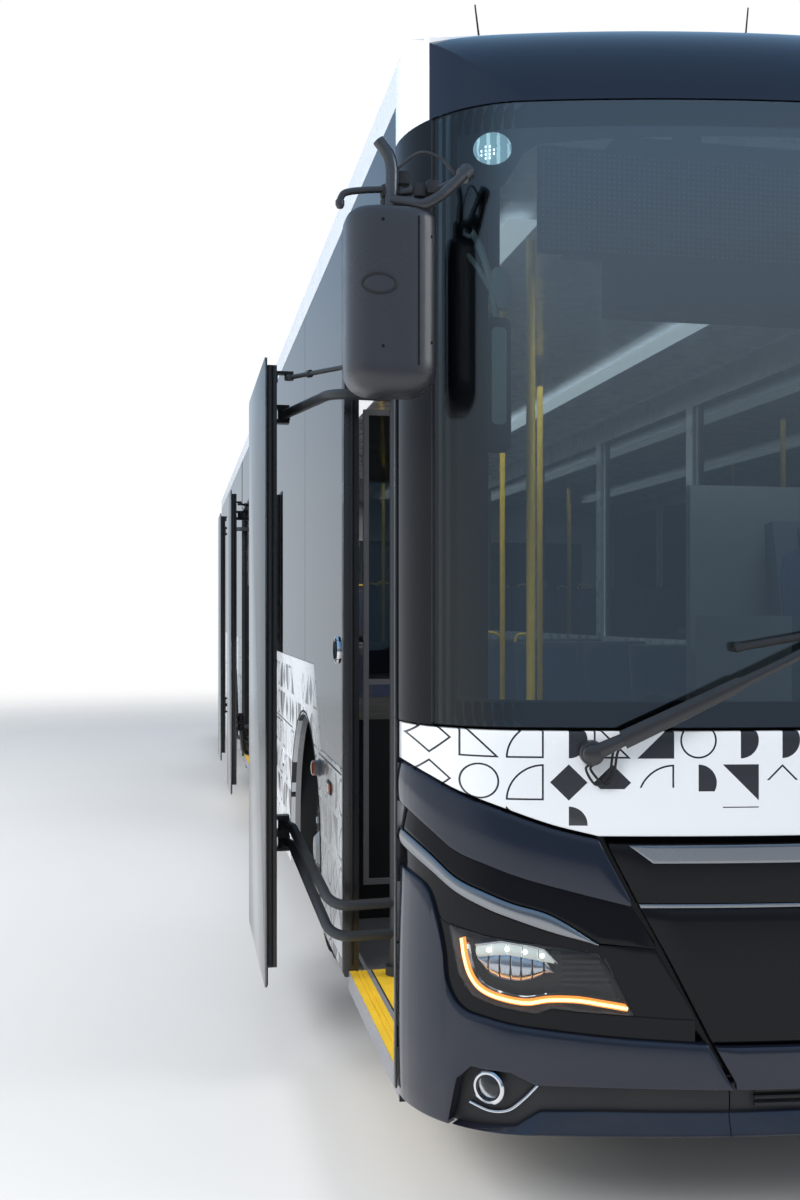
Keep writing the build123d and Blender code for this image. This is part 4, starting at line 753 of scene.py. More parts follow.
def makeMaskCentre():
    joint = [(0.841, 0.966), (0.77, 0.827), (0.7, 0.7), (0.6, 0.506), (0.548, 0.414)]

    def across(z0, z1, inset, depth=0.02, lip=0.004, crown=0.0, rows=6):
        # a plate over the middle between two heights, its ends cut along the joint
        levels = [z0 + (z1 - z0) * k / rows for k in range(rows + 1)]
        edges = [z0 + lip * 0.15, z0 + lip, z1 - lip, z1 - lip * 0.15]
        levels = sorted(levels + edges)
        front, back = [], []
        turned = [(z, y) for y, z in joint]
        for z in levels:
            reach = heightAt(turned, z)
            d = min(z - z0, z1 - z)
            gap = 1 - min(1.0, d / lip)
            cut = lip * (1 - math.sqrt(1 - gap * gap))
            rise = crown * (1 - (2 * (z - z0) / (z1 - z0) - 1) ** 2)
            ys = [reach * (1 - 2 * k / 48) for k in range(49)]
            cuts = [max(cut, lip if k in (0, 48) else 0) for k in range(49)]
            front.append([onFront(y, z, rise - inset - c) for y, c in zip(ys, cuts)])
            back.append([onFront(y, z, -inset - depth) for y in ys])
        return shellShape(front, back)

    piece("maskCentreTop", across(0.835, 0.972, 0.002, crown=0.004), glossBlack,
          replaces=("bumper_centre",))
    piece("maskCentreMain", across(0.508, 0.822, 0.01, crown=0.006, rows=10), glossBlack)
    piece("maskCentreLower", across(0.401, 0.5, 0.0, crown=0.003), navyPaint)
    piece("maskCentreBead", across(0.824, 0.833, 0.004, depth=0.02, lip=0.002, rows=3), satinSteel)
    strips, floorPlates, grillePlates = [], [], []
    for side in tags:
        strips.append(facePatch(side, [(0.798, 0.97), (0.0, 0.974)],
                                [(0.798, 0.97), (0.742, 0.928), (0.0, 0.928)], inset=-0.0025, depth=0.006,
                                lip=0.003))
        floorPlates.append(facePatch(side, [(0.56, 0.34), (0, 0.343)], [(0.56, 0.29), (0, 0.29)],
                                     inset=lambda y, v: 0.006 + 0.02 * v, depth=0.025))
        grillePlates.append(facePatch(side, [(0.553, 0.405), (0, 0.405)], [(0.553, 0.3), (0, 0.3)],
                                      inset=0.038, depth=0.016, lip=0.001))
    piece("maskCentreStrip", strips, satinSteel)
    piece("maskCentreLip", floorPlates, navyPaint)
    piece("maskCentreMouth", grillePlates, blackPlastic, slot="trim_black")
    bars = [tubeShape([around(s * 0.01 - 0.5, z, 0.03) for s in range(101)], 0.005, 8)
            for z in (0.357, 0.374, 0.391)]
    piece("maskGrille", bars, blackPlastic, slot="trim_black")


lensGlass = clearGlass("lensGlass", (0.93, 0.94, 0.95), gloss=1.45)
amberGlow = glow("amberGlow", paints["amber"], 1.6, (0.9, 0.4, 0.1))
whiteGlow = glow("whiteGlow", (0.95, 0.98, 1.0), 2.2)
warmGlow = glow("warmGlow", (1.0, 0.66, 0.3), 2.6, (0.9, 0.6, 0.3))
# a faint pale glow on the headlamp's crystal facets, a painted highlight that stands in for their reflections
crystalPaintedHighlight = glow("crystalPaintedHighlight", (0.78, 0.86, 0.8), 0.45, (0.75, 0.8, 0.78))
for side in tags:
    makeMaskSide(side)
    makeHeadlamp(side)
    makeFog(side)
makeMaskCentre()
panelLow = easedLine([(1.2749, 1.143)] + [(y, z + 0.009) for y, z in mask["top"][1:]]) + [(0.0, 0.99)]
panelTop = [(1.2749, 1.234), (0.0, 1.234)]
panelHalves = [facePatch(side, panelTop, panelLow, inset=0.003, depth=0.026) for side in tags]
piece("frontPanelSkin", panelHalves, panelPaint, replaces=("front_panel",))
print("front mask")


# Pieces that start from a merged copy of the CAD solids
def cadShape(name, keep=None):
    built = bmesh.new()
    built.from_mesh(nodes[name].data)
    bmesh.ops.remove_doubles(built, verts=built.verts, dist=1e-5)
    if keep:
        gone = [face for face in built.faces if not keep(face.calc_center_median())]
        bmesh.ops.delete(built, geom=gone, context="FACES")
    bmesh.ops.dissolve_limit(built, angle_limit=math.radians(0.4), verts=built.verts, edges=built.edges)
    built.verts.index_update()
    points = [v.co.copy() for v in built.verts]
    faces = [tuple(v.index for v in face.verts) for face in built.faces]
    built.free()
    return points, faces


def bakeModifiers(obj):
    graph = bpy.context.evaluated_depsgraph_get()
    mesh = bpy.data.meshes.new_from_object(obj.evaluated_get(graph))
    obj.modifiers.clear()
    obj.data = mesh


def bakeNodes(obj, tree, values):
    modifier = obj.modifiers.new("nodes", "NODES")
    modifier.node_group = tree
    for key, value in values.items():
        modifier[tree.interface.items_tree[key].identifier] = value
    bakeModifiers(obj)


def eased(name, shape, material, bevel=0.0015, angle=40, **more):  # a piece with its edges rounded a little
    obj = piece(name, shape, material, smooth=0, **more)
    cut = obj.modifiers.new("edges", "BEVEL")
    cut.width = bevel
    cut.segments = 2
    cut.limit_method = "ANGLE"
    cut.angle_limit = math.radians(angle)
    bakeModifiers(obj)
    smoothed(obj.data, 26)
    return obj


def bodyOf(name):
    return name if name in frame["bodies"] else "root"


def dressed(name, node, material, keep=None, **more):  # a node's own form with its edges eased
    return eased(name, cadShape(node, keep), material, body=bodyOf(node), replaces=(node,), **more)


def roundedLoop(width, height, radius, steps=6):  # outline about the origin, anticlockwise
    loop = []
    for cx, cy, start in ((1, 1, 0), (-1, 1, 90), (-1, -1, 180), (1, -1, 270)):
        for k in range(steps + 1):
            t = math.radians(start + 90 * k / steps)
            loop.append((cx * (width / 2 - radius) + radius * math.cos(t),
                         cy * (height / 2 - radius) + radius * math.sin(t)))
    return loop


def upright(loop, centre, axis=0):  # a flat loop set up at centre, square to the axis
    x, y, z = centre
    return [(x + a, y, z + b) if axis else (x, y + a, z + b) for a, b in loop]


def roundedPlate(centre, width, height, radius, thick, axis=0):
    return plateShape(upright(roundedLoop(width, height, radius), centre, axis),
                      (0, thick, 0) if axis else (thick, 0, 0))


# Outside mirrors
mirror = {"back": 0.07, "bulge": 0.08, "topRound": 0.024, "lowRound": 0.06, "post": 0.0145, "levels": 28}


def makeMirror(side):
    tag = tags[side]
    low, high = 2.006, 2.425
    y0 = side * (1.342 if side < 0 else 1.38)
    x0, half = 5.925, 0.105

    def ring(z):
        cut = 0.0
        for gap, curve in ((high - z, mirror["topRound"]), (z - low, mirror["lowRound"])):
            if gap < curve:
                cut = curve - math.sqrt(max(0, curve ** 2 - (curve - gap) ** 2))
        row = []
        for k in range(56):
            t = 2 * math.pi * k / 56
            c, s = math.cos(t), math.sin(t)
            reach, power = (mirror["bulge"], 2.6) if c > 0 else (mirror["back"], 7.0)
            x = math.copysign(abs(c) ** (2 / power), c) * (reach - cut * 0.7)
            y = math.copysign(abs(s) ** (2 / 3.6), s) * (half - cut)
            row.append(Vector((x0 + x, y0 + y, z)))
        return row

    n = mirror["levels"]
    heights = [low + mirror["lowRound"] * (1 - math.cos(math.pi / 2 * k / 8)) for k in range(8)]
    heights += [low + mirror["lowRound"] + (high - low - mirror["lowRound"] - mirror["topRound"]) * k / n
                for k in range(n + 1)]
    heights += [high - mirror["topRound"] * (1 - math.sin(math.pi / 2 * k / 6)) for k in range(1, 7)]
    head = cappedShape([ring(z) for z in heights])
    piece("mirrorHead_" + tag, head, mirrorShell, replaces=("mirrors",), smooth=50)

    def onFace(y, z, out=0.0):  # front of the shell at a sideways place
        u = min(1.0, abs(y) / half)
        x = mirror["bulge"] * max(0.0, 1 - u ** 3.6) ** (1 / 2.6)
        return Vector((x0 + x + out, y0 + y, z))

    seam = [onFace(0.052, z, 0.0004) for z in heights if low + 0.05 < z < high - 0.02]
    piece("mirrorSeam_" + tag, tubeShape(seam, 0.002, 6), glossBlack, slot="black_plastic")
    oval = [onFace(-0.038 + 0.038 * math.cos(2 * math.pi * k / 40),
                   2.245 + 0.022 * math.sin(2 * math.pi * k / 40)) for k in range(40)]
    piece("mirrorOval_" + tag, tubeShape(oval, 0.003, 8, closed=True), blackPlastic)
    dots = [turnedShape([(0, 1.2), (3.5, 0.8), (4, -1), (0, -1)], onFace(y, z), (1, 0, 0), 12)
            for y, z in ((-0.03, 2.388), (-0.03, 2.105), (0.083, 2.36), (0.083, 2.12))]
    piece("mirrorScrews_" + tag, dots, glossBlack, slot="black_plastic")
    glass = roundedPlate((x0 - 0.0712, y0, (low + high) / 2), 2 * half - 0.03, high - low - 0.06, 0.03, 0.004)
    piece("mirrorGlass_" + tag, glass, chrome, smooth=0)

    def off(out, x, z):  # out is the distance from the head's middle, plus away from the bus
        return x, y0 + side * out, z

    upper = ((0, high - 0.03, 0.02), (0, high + 0.06, 0.02), (0, 2.524, 0.02), (0.008, 2.556, 0.02),
             (0.03, 2.588, 0.018))
    post = smoothRun([off(out, x0 + ahead, z) for out, z, ahead in upper], 6)
    piece("mirrorPost_" + tag, tubeShape(post, mirror["post"], 20), satinDark)
    arms = []
    for r, path in ((0.0125, ((0, 5.95, 2.451), (-0.04, 5.975, 2.438), (-0.068, 5.985, 2.434),
                              (-0.104, 5.986, 2.455), (-0.13, 5.982, 2.478), (-0.171, 5.975, 2.521))),
                    (0.0095, ((0, 5.93, 2.47), (-0.045, 5.945, 2.476), (-0.09, 5.952, 2.474),
                              (-0.13, 5.955, 2.492), (-0.168, 5.955, 2.517))),
                    (0.0032, ((0.002, 5.925, 2.5), (-0.02, 5.95, 2.53), (-0.063, 5.96, 2.56),
                              (-0.11, 5.96, 2.552), (-0.145, 5.958, 2.518)))):
        arms.append(tubeShape(smoothRun([off(*p) for p in path], 6), r, 14))
    piece("mirrorArms_" + tag, arms, mirrorShell)
    end = Vector(off(-0.171, 5.968, 2.52))
    ahead = (end - Vector(off(-0.13, 5.976, 2.478))).normalized()
    cap = turnedShape([(0, 4), (6, 4), (6.5, 10), (16, 10), (19, 6), (19, -16), (0, -16)], end, ahead, 24)
    piece("mirrorFoot_" + tag, cap, satinDark)
    clamps = [turnedShape([(13, -14), (21, -14), (23, -11), (23, 11), (21, 14), (13, 14)], (x0, y0, z),
                          (0, 0, 1), 20) for z in (2.446, 2.478)]
    for place in ((-0.06, 5.965, 2.47), (-0.088, 5.972, 2.476), (-0.03, 5.93, 2.508)):
        at, size = Vector(off(*place)), Vector((0.014, 0.013, 0.015))
        clamps.append(boxShape(at - size, at + size))
    eased("mirrorClamps_" + tag, clamps, blackPlastic, bevel=0.002)
    reach = 0.117 if side < 0 else 0.093
    bar = smoothRun([off(0, 5.932, 2.482), off(reach / 2, 5.93, 2.477), off(reach - 0.013, 5.93, 2.468),
                     off(reach, 5.93, 2.452)], 5)
    ball = turnedShape([(0, -14), (7, -12), (10.5, -5), (10.5, 4), (7, 9), (0, 10)],
                       off(reach, 5.93, 2.444), (0, 0, 1), 16)
    piece("mirrorRod_" + tag, [tubeShape(bar, 0.0078), ball], mirrorShell)


def makeInsideMirror():
    low, high, x, y = 1.89, 2.21, 5.889, -1.075
    middle = (low + high) / 2
    eased("insideMirror", roundedPlate((x + 0.012, y, middle), 0.062, high - low, 0.018, -0.026),
          blackPlastic, bevel=0.005)
    pane = roundedPlate((x - 0.0145, y, middle), 0.05, high - low - 0.014, 0.014, -0.001)
    piece("insideMirrorGlass", pane, chrome, smooth=0)
    knob = turnedShape([(0, 13), (20, 12), (31, 6), (33, -4), (26, -13), (0, -14)],
                       (0, 0, 0), (1, 0, 0), 28)
    at, lean = Vector((x, y + 0.006, high + 0.07)), Matrix(((1, 0, 0), (0, 0.85, -0.12), (0, 0, 1.6)))
    piece("insideMirrorKnob", ([at + lean @ p for p in knob[0]], knob[1]), paleTrim)
    backPlate = roundedPlate((x + 0.0122, y, middle + 0.02), 0.036, high - low - 0.09, 0.012, 0.0012)
    piece("insideMirrorBack", backPlate, paleTrim, smooth=0)
    for k, run in enumerate(([(5.8, -1.17, 2.507), (5.83, -1.15, 2.47), (5.875, -1.118, 2.385),
                              (5.889, -1.095, 2.3), (5.889, -1.078, 2.205)],
                             [(5.8, -1.168, 2.43), (5.84, -1.158, 2.395), (5.875, -1.128, 2.34),
                              (5.889, -1.092, 2.275)])):
        piece("insideMirrorArm" + str(k), tubeShape(smoothRun(run, 6), 0.0085 - 0.002 * k, 12), paleTrim)
    eased("insideMirrorFoot", boxShape((5.782, -1.165, 2.44), (5.806, -1.14, 2.53)), blackPlastic,
          bevel=0.004)


# Door leaves
leafSizes = {"corner": 0.028, "seal": 0.0085, "print": 0.062, "openings": ((0.437, 0.64), (0.805, 2.17))}


def makeLeaf(door):
    node = door + "_leaf"
    body = bodyOf(node)
    low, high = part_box(node)
    width, height = high.x - low.x, high.z - low.z
    cx, cz = (low.x + high.x) / 2, (low.z + high.z) / 2
    dressed(node + "Frame", node, leafPaint, keep=lambda c: c.y > low.y + 0.00815, bevel=0.0018)
    pane = roundedPlate((cx, low.y, cz), width, height, leafSizes["corner"], 0.006, axis=1)
    eased(node + "Glass", pane, doorGlass, bevel=0.0012, body=body)
    xs = [low.x + 0.003, low.x + leafSizes["print"], high.x - leafSizes["print"], high.x - 0.003]
    zs = [low.z + 0.004, *leafSizes["openings"][0], *leafSizes["openings"][1], high.z - 0.004]
    cells = [boxShape((xs[i], low.y + 0.0063, zs[j]), (xs[i + 1], low.y + 0.0072, zs[j + 1]))
             for i in range(3) for j in range(5) if not (i == 1 and j in (1, 3))]
    piece(node + "Print", cells, glossBlack, body=body, smooth=0, merge=1e-5)
    seals = [tubeShape([(x, low.y + 0.019, 0.332), (x, low.y + 0.019, high.z - 0.03)], leafSizes["seal"])
             for x in (low.x + 0.0095, high.x - 0.0095)]
    seals.append(boxShape((low.x + 0.02, low.y + 0.0078, 0.263), (high.x - 0.02, low.y + 0.011, 0.326)))
    for z0, z1 in leafSizes["openings"]:
        ring = roundedLoop(width - 0.126, z1 - z0 - 0.004, 0.012, 4)
        for inward, radius in ((0.0125, 0.0052), (0.0395, 0.0042)):
            seals.append(tubeShape(upright(ring, (cx, low.y + inward, (z0 + z1) / 2), 1), radius, 8,
                                   closed=True))
    piece(node + "Seals", seals, rubber, body=body, smooth=40)
    for more in ("_arms", "_rod"):
        dressed(door + more + "Bars", door + more, armPaint, bevel=0.001, angle=50)


# Windscreen print, display and what hangs behind the glass
screenInset = 0.0122
headerLow = [(1.2204, 1.244), (1.1942, 1.244), (1.1938, 2.44), (1.187, 2.482), (1.172, 2.502), (1.147, 2.506),
             (1.106, 2.5), (1.078, 2.508), (1.055, 2.545), (1.035, 2.58), (0.999, 2.602), (0.862, 2.611),
             (0.635, 2.617), (0.0, 2.624)]


def makeScreenEdge(side):
    flat = {"inset": screenInset, "depth": 0.001, "lip": 0.0003}
    header = facePatch(side, [(1.2204, 2.696), (0.0, 2.696)], headerLow, **flat)
    sill = facePatch(side, [(1.1936, 1.33), (1.17, 1.312), (1.12, 1.306), (0.0, 1.3)],
                     [(1.1936, 1.244), (0.0, 1.244)], **flat)
    piece("screenPrint_" + tags[side], [header, sill], glossBlack)
    edge = alongFace(side, [(1.2204, z) for z in (1.246, 1.6, 2.0, 2.4, 2.694)], 0.004)
    piece("screenSeal_" + tags[side], tubeShape(edge, 0.005, 8), rubber, slot="trim_black")


def makeScreenLamp():
    front, back = [], []
    for k in range(6):
        share, turns = k / 5, [2 * math.pi * j / 40 for j in range(40)]
        line = [(1.102 + 0.042 * share * math.cos(t),
                 2.598 + 0.038 * share * math.sin(t) + 0.004 * share * math.cos(t)) for t in turns]
        front.append(alongFace(-1, line, 0.0112))
        back.insert(0, alongFace(-1, line, 0.012))
    piece("screenLamp", gridShape(front + back, wrapColumns=True), paleGlow, smooth=0)
    steps = (-1.5, -0.5, 0.5, 1.5)
    places = [(1.112 + 0.009 * a, 2.59 + 0.009 * b) for a in steps for b in steps if abs(a) + abs(b) < 3]
    dots = [turnedShape([(0, 0.3), (3.2, 0.3), (3.2, -0.3), (0, -0.3)], at, (1, 0, 0), 8)
            for at in alongFace(-1, places, 0.0109)]
    piece("screenLampDots", dots, whiteGlow, smooth=0)


def makeScreen():
    makeScreenEdge(-1)
    makeScreenLamp()
    makeScreenEdge(1)
    piece("windscreenPane", cadShape("windscreen"), windscreenGlass, replaces=("windscreen",), smooth=25)


display = {"pitch": 0.0125, "rows": 19, "columns": 158, "dot": 0.0031, "middleZ": 2.478, "faceX": 5.9525}


def makeDisplay():
    # dots on a grid, none of them lit
    faceX, middleZ = display["faceX"], display["middleZ"]
    width, height = (display["pitch"] * (display[key] - 1) for key in ("columns", "rows"))
    board = boxShape((faceX - 0.012, -width / 2 - 0.014, middleZ - height / 2 - 0.014),
                     (faceX - 0.0015, width / 2 + 0.014, middleZ + height / 2 + 0.014))
    eased("displayBoard", board, blackPlastic, bevel=0.002)
    obj = linked("displayDots", bpy.data.meshes.new("displayDots"))
    tree = bpy.data.node_groups.new("dotField", "GeometryNodeTree")
    values = {"Width": width, "Height": height, "Dot Radius": display["dot"], "Columns": display["columns"],
              "Rows": display["rows"]}
    for name, value in values.items():
        sort = "Int" if isinstance(value, int) else "Float"
        tree.interface.new_socket(name, in_out="INPUT", socket_type="NodeSocket" + sort).default_value = value
    tree.interface.new_socket("Geometry", in_out="OUTPUT", socket_type="NodeSocketGeometry")
    given = addNode(tree, "NodeGroupInput").outputs
    grid = addNode(tree, "GeometryNodeMeshGrid", {"Size X": given["Width"], "Size Y": given["Height"],
                                                  "Vertices X": given["Columns"],
                                                  "Vertices Y": given["Rows"]})
    disc = addNode(tree, "GeometryNodeMeshCylinder", {"Vertices": 6, "Depth": 0.0008,
                                                      "Radius": given["Dot Radius"]})
    spread = addNode(tree, "GeometryNodeInstanceOnPoints", {"Points": grid, "Instance": disc})
    turned = addNode(tree, "GeometryNodeTransform", {"Rotation": (math.radians(90), 0, math.radians(90)),
                                                     "Translation": (faceX - 0.0008, 0, middleZ),
                                                     "Geometry": spread})
    real = addNode(tree, "GeometryNodeRealizeInstances", {"Geometry": turned})
    paint = addNode(tree, "GeometryNodeSetMaterial", {"Geometry": real, "Material": dotFinish})
    addNode(tree, "NodeGroupOutput", {0: paint})
    bakeNodes(obj, tree, values)
    finishPiece(obj, "root")


# Door posts and jambs along the kerb side
postSizes = {"skin": 0.0016, "outer": 1.2766, "inner": 1.2285, "low": 0.302, "top": 2.375}


def makePosts():
    skin, outer, inner, foot, top = (postSizes[key] for key in ("skin", "outer", "inner", "low", "top"))
    front, middle = (4.73, 5.63), (-1.4, -0.2)
    plates = []
    for near, way in ((front[0], 1), (middle[0], 1), (middle[1], -1)):
        a, b = sorted((near - way * 0.068, near))
        plates.append(boxShape((a, -outer, foot), (b, -1.2751, 2.8)))
        c, d = sorted((near, near + way * skin))
        plates.append(boxShape((c, -outer, foot), (d, -inner, top)))
    for a, b in (front, middle):
        plates.append(boxShape((a, -outer, top - skin), (b, -inner, top)))
        plates.append(boxShape((a, -outer, top), (b, -1.2751, top + 0.02)))
    plates.append(boxShape((5.6385, -1.2795, foot), (5.658, -1.2745, 2.37)))
    eased("doorPosts", joined(plates), leafPaint, bevel=0.0004)
    seals = [tubeShape([(x, -1.252, 0.34), (x, -1.252, 2.37)], 0.0045, 8)
             for x in (front[0] + 0.004, middle[0] + 0.004, middle[1] - 0.004, front[1] + 0.006)]
    piece("doorwaySeals", seals, rubber)
    # the screen that stands on the wheel housing behind the front doorway
    x, near, far, rail = 4.0815, -1.112, -0.742, 0.021
    bars = [boxShape((x, y, 0.455), (x + 0.016, y + rail, 2.3)) for y in (near, far - rail)]
    bars += [boxShape((x, near + rail, z), (x + 0.016, far - rail, z + rail)) for z in (0.455, 1.232, 2.279)]
    piece("screenFrame", bars, alloyGrey, smooth=0)
    trims, lines = [], []
    for a, b in (front, middle):
        trims.append(boxShape((a + 0.002, -1.2626, 0.258), (b - 0.002, -1.2606, 0.3196)))
        trims.append(boxShape((a + 0.002, -1.204, 0.3196), (b - 0.002, -1.19, 0.3213)))
        lines.append(boxShape((a + 0.002, -1.19, 0.3196), (b - 0.002, -1.185, 0.321)))
    lines.append(boxShape((front[1], -1.264, 0.256), (front[1] + 0.004, -1.13, 0.3196)))
    piece("thresholdTrims", trims, alloyGrey, smooth=0)
    piece("thresholdLines", lines, rubber, smooth=0)
    pane = boxShape((x + 0.005, near + rail, 1.253), (x + 0.009, far - rail, 2.279))
    piece("screenPane", pane, doorGlass, slot="clear_glass", smooth=0)


# Wipers: flat sections along lines over the glass
wiperPivots = {"ys": (-0.882, 0.06), "z": 1.186}


def flatRun(line, out, thick, sides=12):  # line of (y, z, half width); out is the distance off the body
    places = [onFront(y, z, out) for y, z, wide in line]
    rows = []
    for i, p in enumerate(places):
        ahead = (places[min(i + 1, len(places) - 1)] - places[max(i - 1, 0)]).normalized()
        away = (onFront(line[i][0], line[i][1], out + 0.1) - p).normalized()
        rows.append(ringOf(p, away.cross(ahead).normalized() * line[i][2], away * thick, sides))
    return cappedShape(rows)


def makeWipers():
    arms, blades, hoses = [], [], []
    z = wiperPivots["z"]
    for y in wiperPivots["ys"]:

        def run(start, end, out, thick, count=10, sides=12):  # both ends (y, z, half width) from the pivot
            line = [[a + (b - a) * k / count for a, b in zip(start, end)] for k in range(count + 1)]
            return flatRun([(y + a, z + b, wide) for a, b, wide in line], out, thick, sides)

        away = onFront(y, z, 0.1) - onFront(y, z, 0)
        arms.append(turnedShape([(0, 43.5), (14, 43.2), (21, 40), (23.5, 34), (23.5, 31), (27, 30),
                                 (28.5, 27), (28.5, 18), (25, 16), (25, 13), (29, 12), (29, 0), (0, 0)],
                                onFront(y, z, 0), away, 32))
        arms.append(run((0.0, 0.0, 0.019), (0.072, 0.035, 0.015), 0.034, 0.0085, 4))
        arms.append(run((0.066, 0.032, 0.022), (0.33, 0.161, 0.0175), 0.0355, 0.0084, 10, 16))
        arms.append(run((0.326, 0.159, 0.014), (0.596, 0.291, 0.0085), 0.0355, 0.0068))
        blades.append(run((0.32, 0.242, 0.0085), (0.86, 0.334, 0.0085), 0.021, 0.0065, 20))
        blades.append(run((0.32, 0.236, 0.005), (0.86, 0.328, 0.005), 0.0085, 0.006, 20, 8))
        blades.append(run((0.572, 0.283, 0.013), (0.616, 0.293, 0.013), 0.029, 0.01, 2))
        for a in (0.322, 0.846):
            rise = (a - 0.32) * 0.17
            blades.append(run((a, 0.242 + rise, 0.012), (a + 0.014, 0.2445 + rise, 0.012), 0.018, 0.009, 1))
        for shift in (0.0, 0.01):
            loop = [onFront(y + a + shift, z + b, out) for a, b, out in (
                (0.006, -0.02, 0.026), (-0.014, -0.036, 0.02), (0.01 + shift, -0.074, 0.014),
                (0.038, -0.046, 0.018), (0.046, 0.004, 0.026), (0.06, 0.022, 0.032))]
            hoses.append(tubeShape(smoothRun(loop, 6), 0.003, 8))
    piece("wiperArms", arms, satinBlack, replaces=("wipers",))
    piece("wiperBlades", blades, blackPlastic)
    piece("wiperHoses", hoses, rubber, slot="black_plastic")


satinBlack = finish("satinBlack", (0.02, 0.02, 0.022), 0.32, coat=0.3, spread=0.2, scale=9.0)
mirrorShell = finish("mirrorShell", (0.026, 0.027, 0.032), 0.3, coat=0.25, spread=0.08, scale=5.0, grain=0.25,
                     grainScale=900.0)
paleTrim = finish("paleTrim", (0.4, 0.42, 0.4), 0.35, spread=0.1, scale=20.0)
satinDark = finish("satinDark", (0.08, 0.084, 0.092), 0.28, metal=0.7, spread=0.08, scale=12.0)
alloyGrey = finish("alloyGrey", (0.3, 0.3, 0.33), 0.38, metal=0.2, spread=0.1, scale=30.0, dirt=0.2)
leafPaint = finish("leafPaint", (0.018, 0.019, 0.022), 0.3, spread=0.15, scale=4.0, grain=0.1, dirt=0.25,
                   dirtTop=0.7)
armPaint = finish("armPaint", (0.036, 0.039, 0.043), 0.38, scale=6.0, grain=0.3, grainScale=420.0)
doorGlass = clearGlass("doorGlass", (0.3, 0.34, 0.35), gloss=1.8, extra=0.14)
paleGlow = glow("paleGlow", (0.55, 0.82, 0.92), 0.7, (0.5, 0.6, 0.65))
dotFinish = finish("dotFinish", (0.2, 0.235, 0.26), 0.35, spread=0.1, scale=60.0)
for side in tags:
    makeMirror(side)
makeInsideMirror()
print("mirrors")
for door in ("front_door", "middle_door_front", "middle_door_rear"):
    makeLeaf(door)
makePosts()
print("doors")
makeScreen()
makeDisplay()
makeWipers()
print("windscreen")


# Repeats: one part copied round a ring or along a line
def repeatTree(kind):
    tree = bpy.data.node_groups.new(kind + "Repeat", "GeometryNodeTree")
    for name, sort in (("Part", "Object"), ("Paint", "Material"), ("Count", "Int"), ("Radius", "Float"),
                       ("Step", "Vector"), ("Turn", "Vector"), ("Place", "Vector")):
        tree.interface.new_socket(name, in_out="INPUT", socket_type="NodeSocket" + sort)
    tree.interface.new_socket("Geometry", in_out="OUTPUT", socket_type="NodeSocketGeometry")
    given = addNode(tree, "NodeGroupInput").outputs
    part = addNode(tree, "GeometryNodeObjectInfo", {"Object": given["Part"]}).outputs["Geometry"]
    spread = {"Instance": part}
    if kind == "ring":
        share = mathNode(tree, "DIVIDE", addNode(tree, "GeometryNodeInputIndex"), given["Count"])
        angle = mathNode(tree, "MULTIPLY", share, 2 * math.pi)
        spread["Rotation"] = addNode(tree, "ShaderNodeCombineXYZ", {2: angle})
        points = addNode(tree, "GeometryNodeMeshCircle", {"Vertices": given["Count"],
                                                          "Radius": given["Radius"]})
    else:
        points = addNode(tree, "GeometryNodeMeshLine", {"Count": given["Count"], "Offset": given["Step"]})
    spread = addNode(tree, "GeometryNodeInstanceOnPoints", {"Points": points, **spread})
    move = addNode(tree, "GeometryNodeTransform", {"Geometry": spread, "Rotation": given["Turn"],
                                                   "Translation": given["Place"]})
    real = addNode(tree, "GeometryNodeRealizeInstances", {"Geometry": move})
    paint = addNode(tree, "GeometryNodeSetMaterial", {"Geometry": real, "Material": given["Paint"]})
    addNode(tree, "NodeGroupOutput", {0: paint})
    return tree


repeatTrees = {kind: repeatTree(kind) for kind in ("ring", "line")}


def repeated(name, shape, count, material, place, step=None, radius=0.0, turn=(0, 0, 0), body="root",
             slot=None):
    # shape is one part about the origin; on a ring x points outwards and z lies along the ring's axis
    source = linked(name + "Part", meshOf(name + "Part", shape))
    obj = linked(name, bpy.data.meshes.new(name))
    bakeNodes(obj, repeatTrees["line" if step else "ring"], {
        "Part": source, "Paint": material, "Count": count, "Radius": radius, "Step": step or (0, 0, 0),
        "Turn": tuple(math.radians(a) for a in turn), "Place": tuple(place)})
    bpy.data.objects.remove(source)
    finishPiece(obj, body)


# Tyres and wheels
tread = {
    "blocks": 64, "depth": 0.009, "share": 0.86, "clear": 0.0025, "axle": 0.48,
    "ribs": (-0.096, -0.05, 0.0, 0.05, 0.096), "wide": (0.042, 0.036, 0.036, 0.036, 0.042),
}


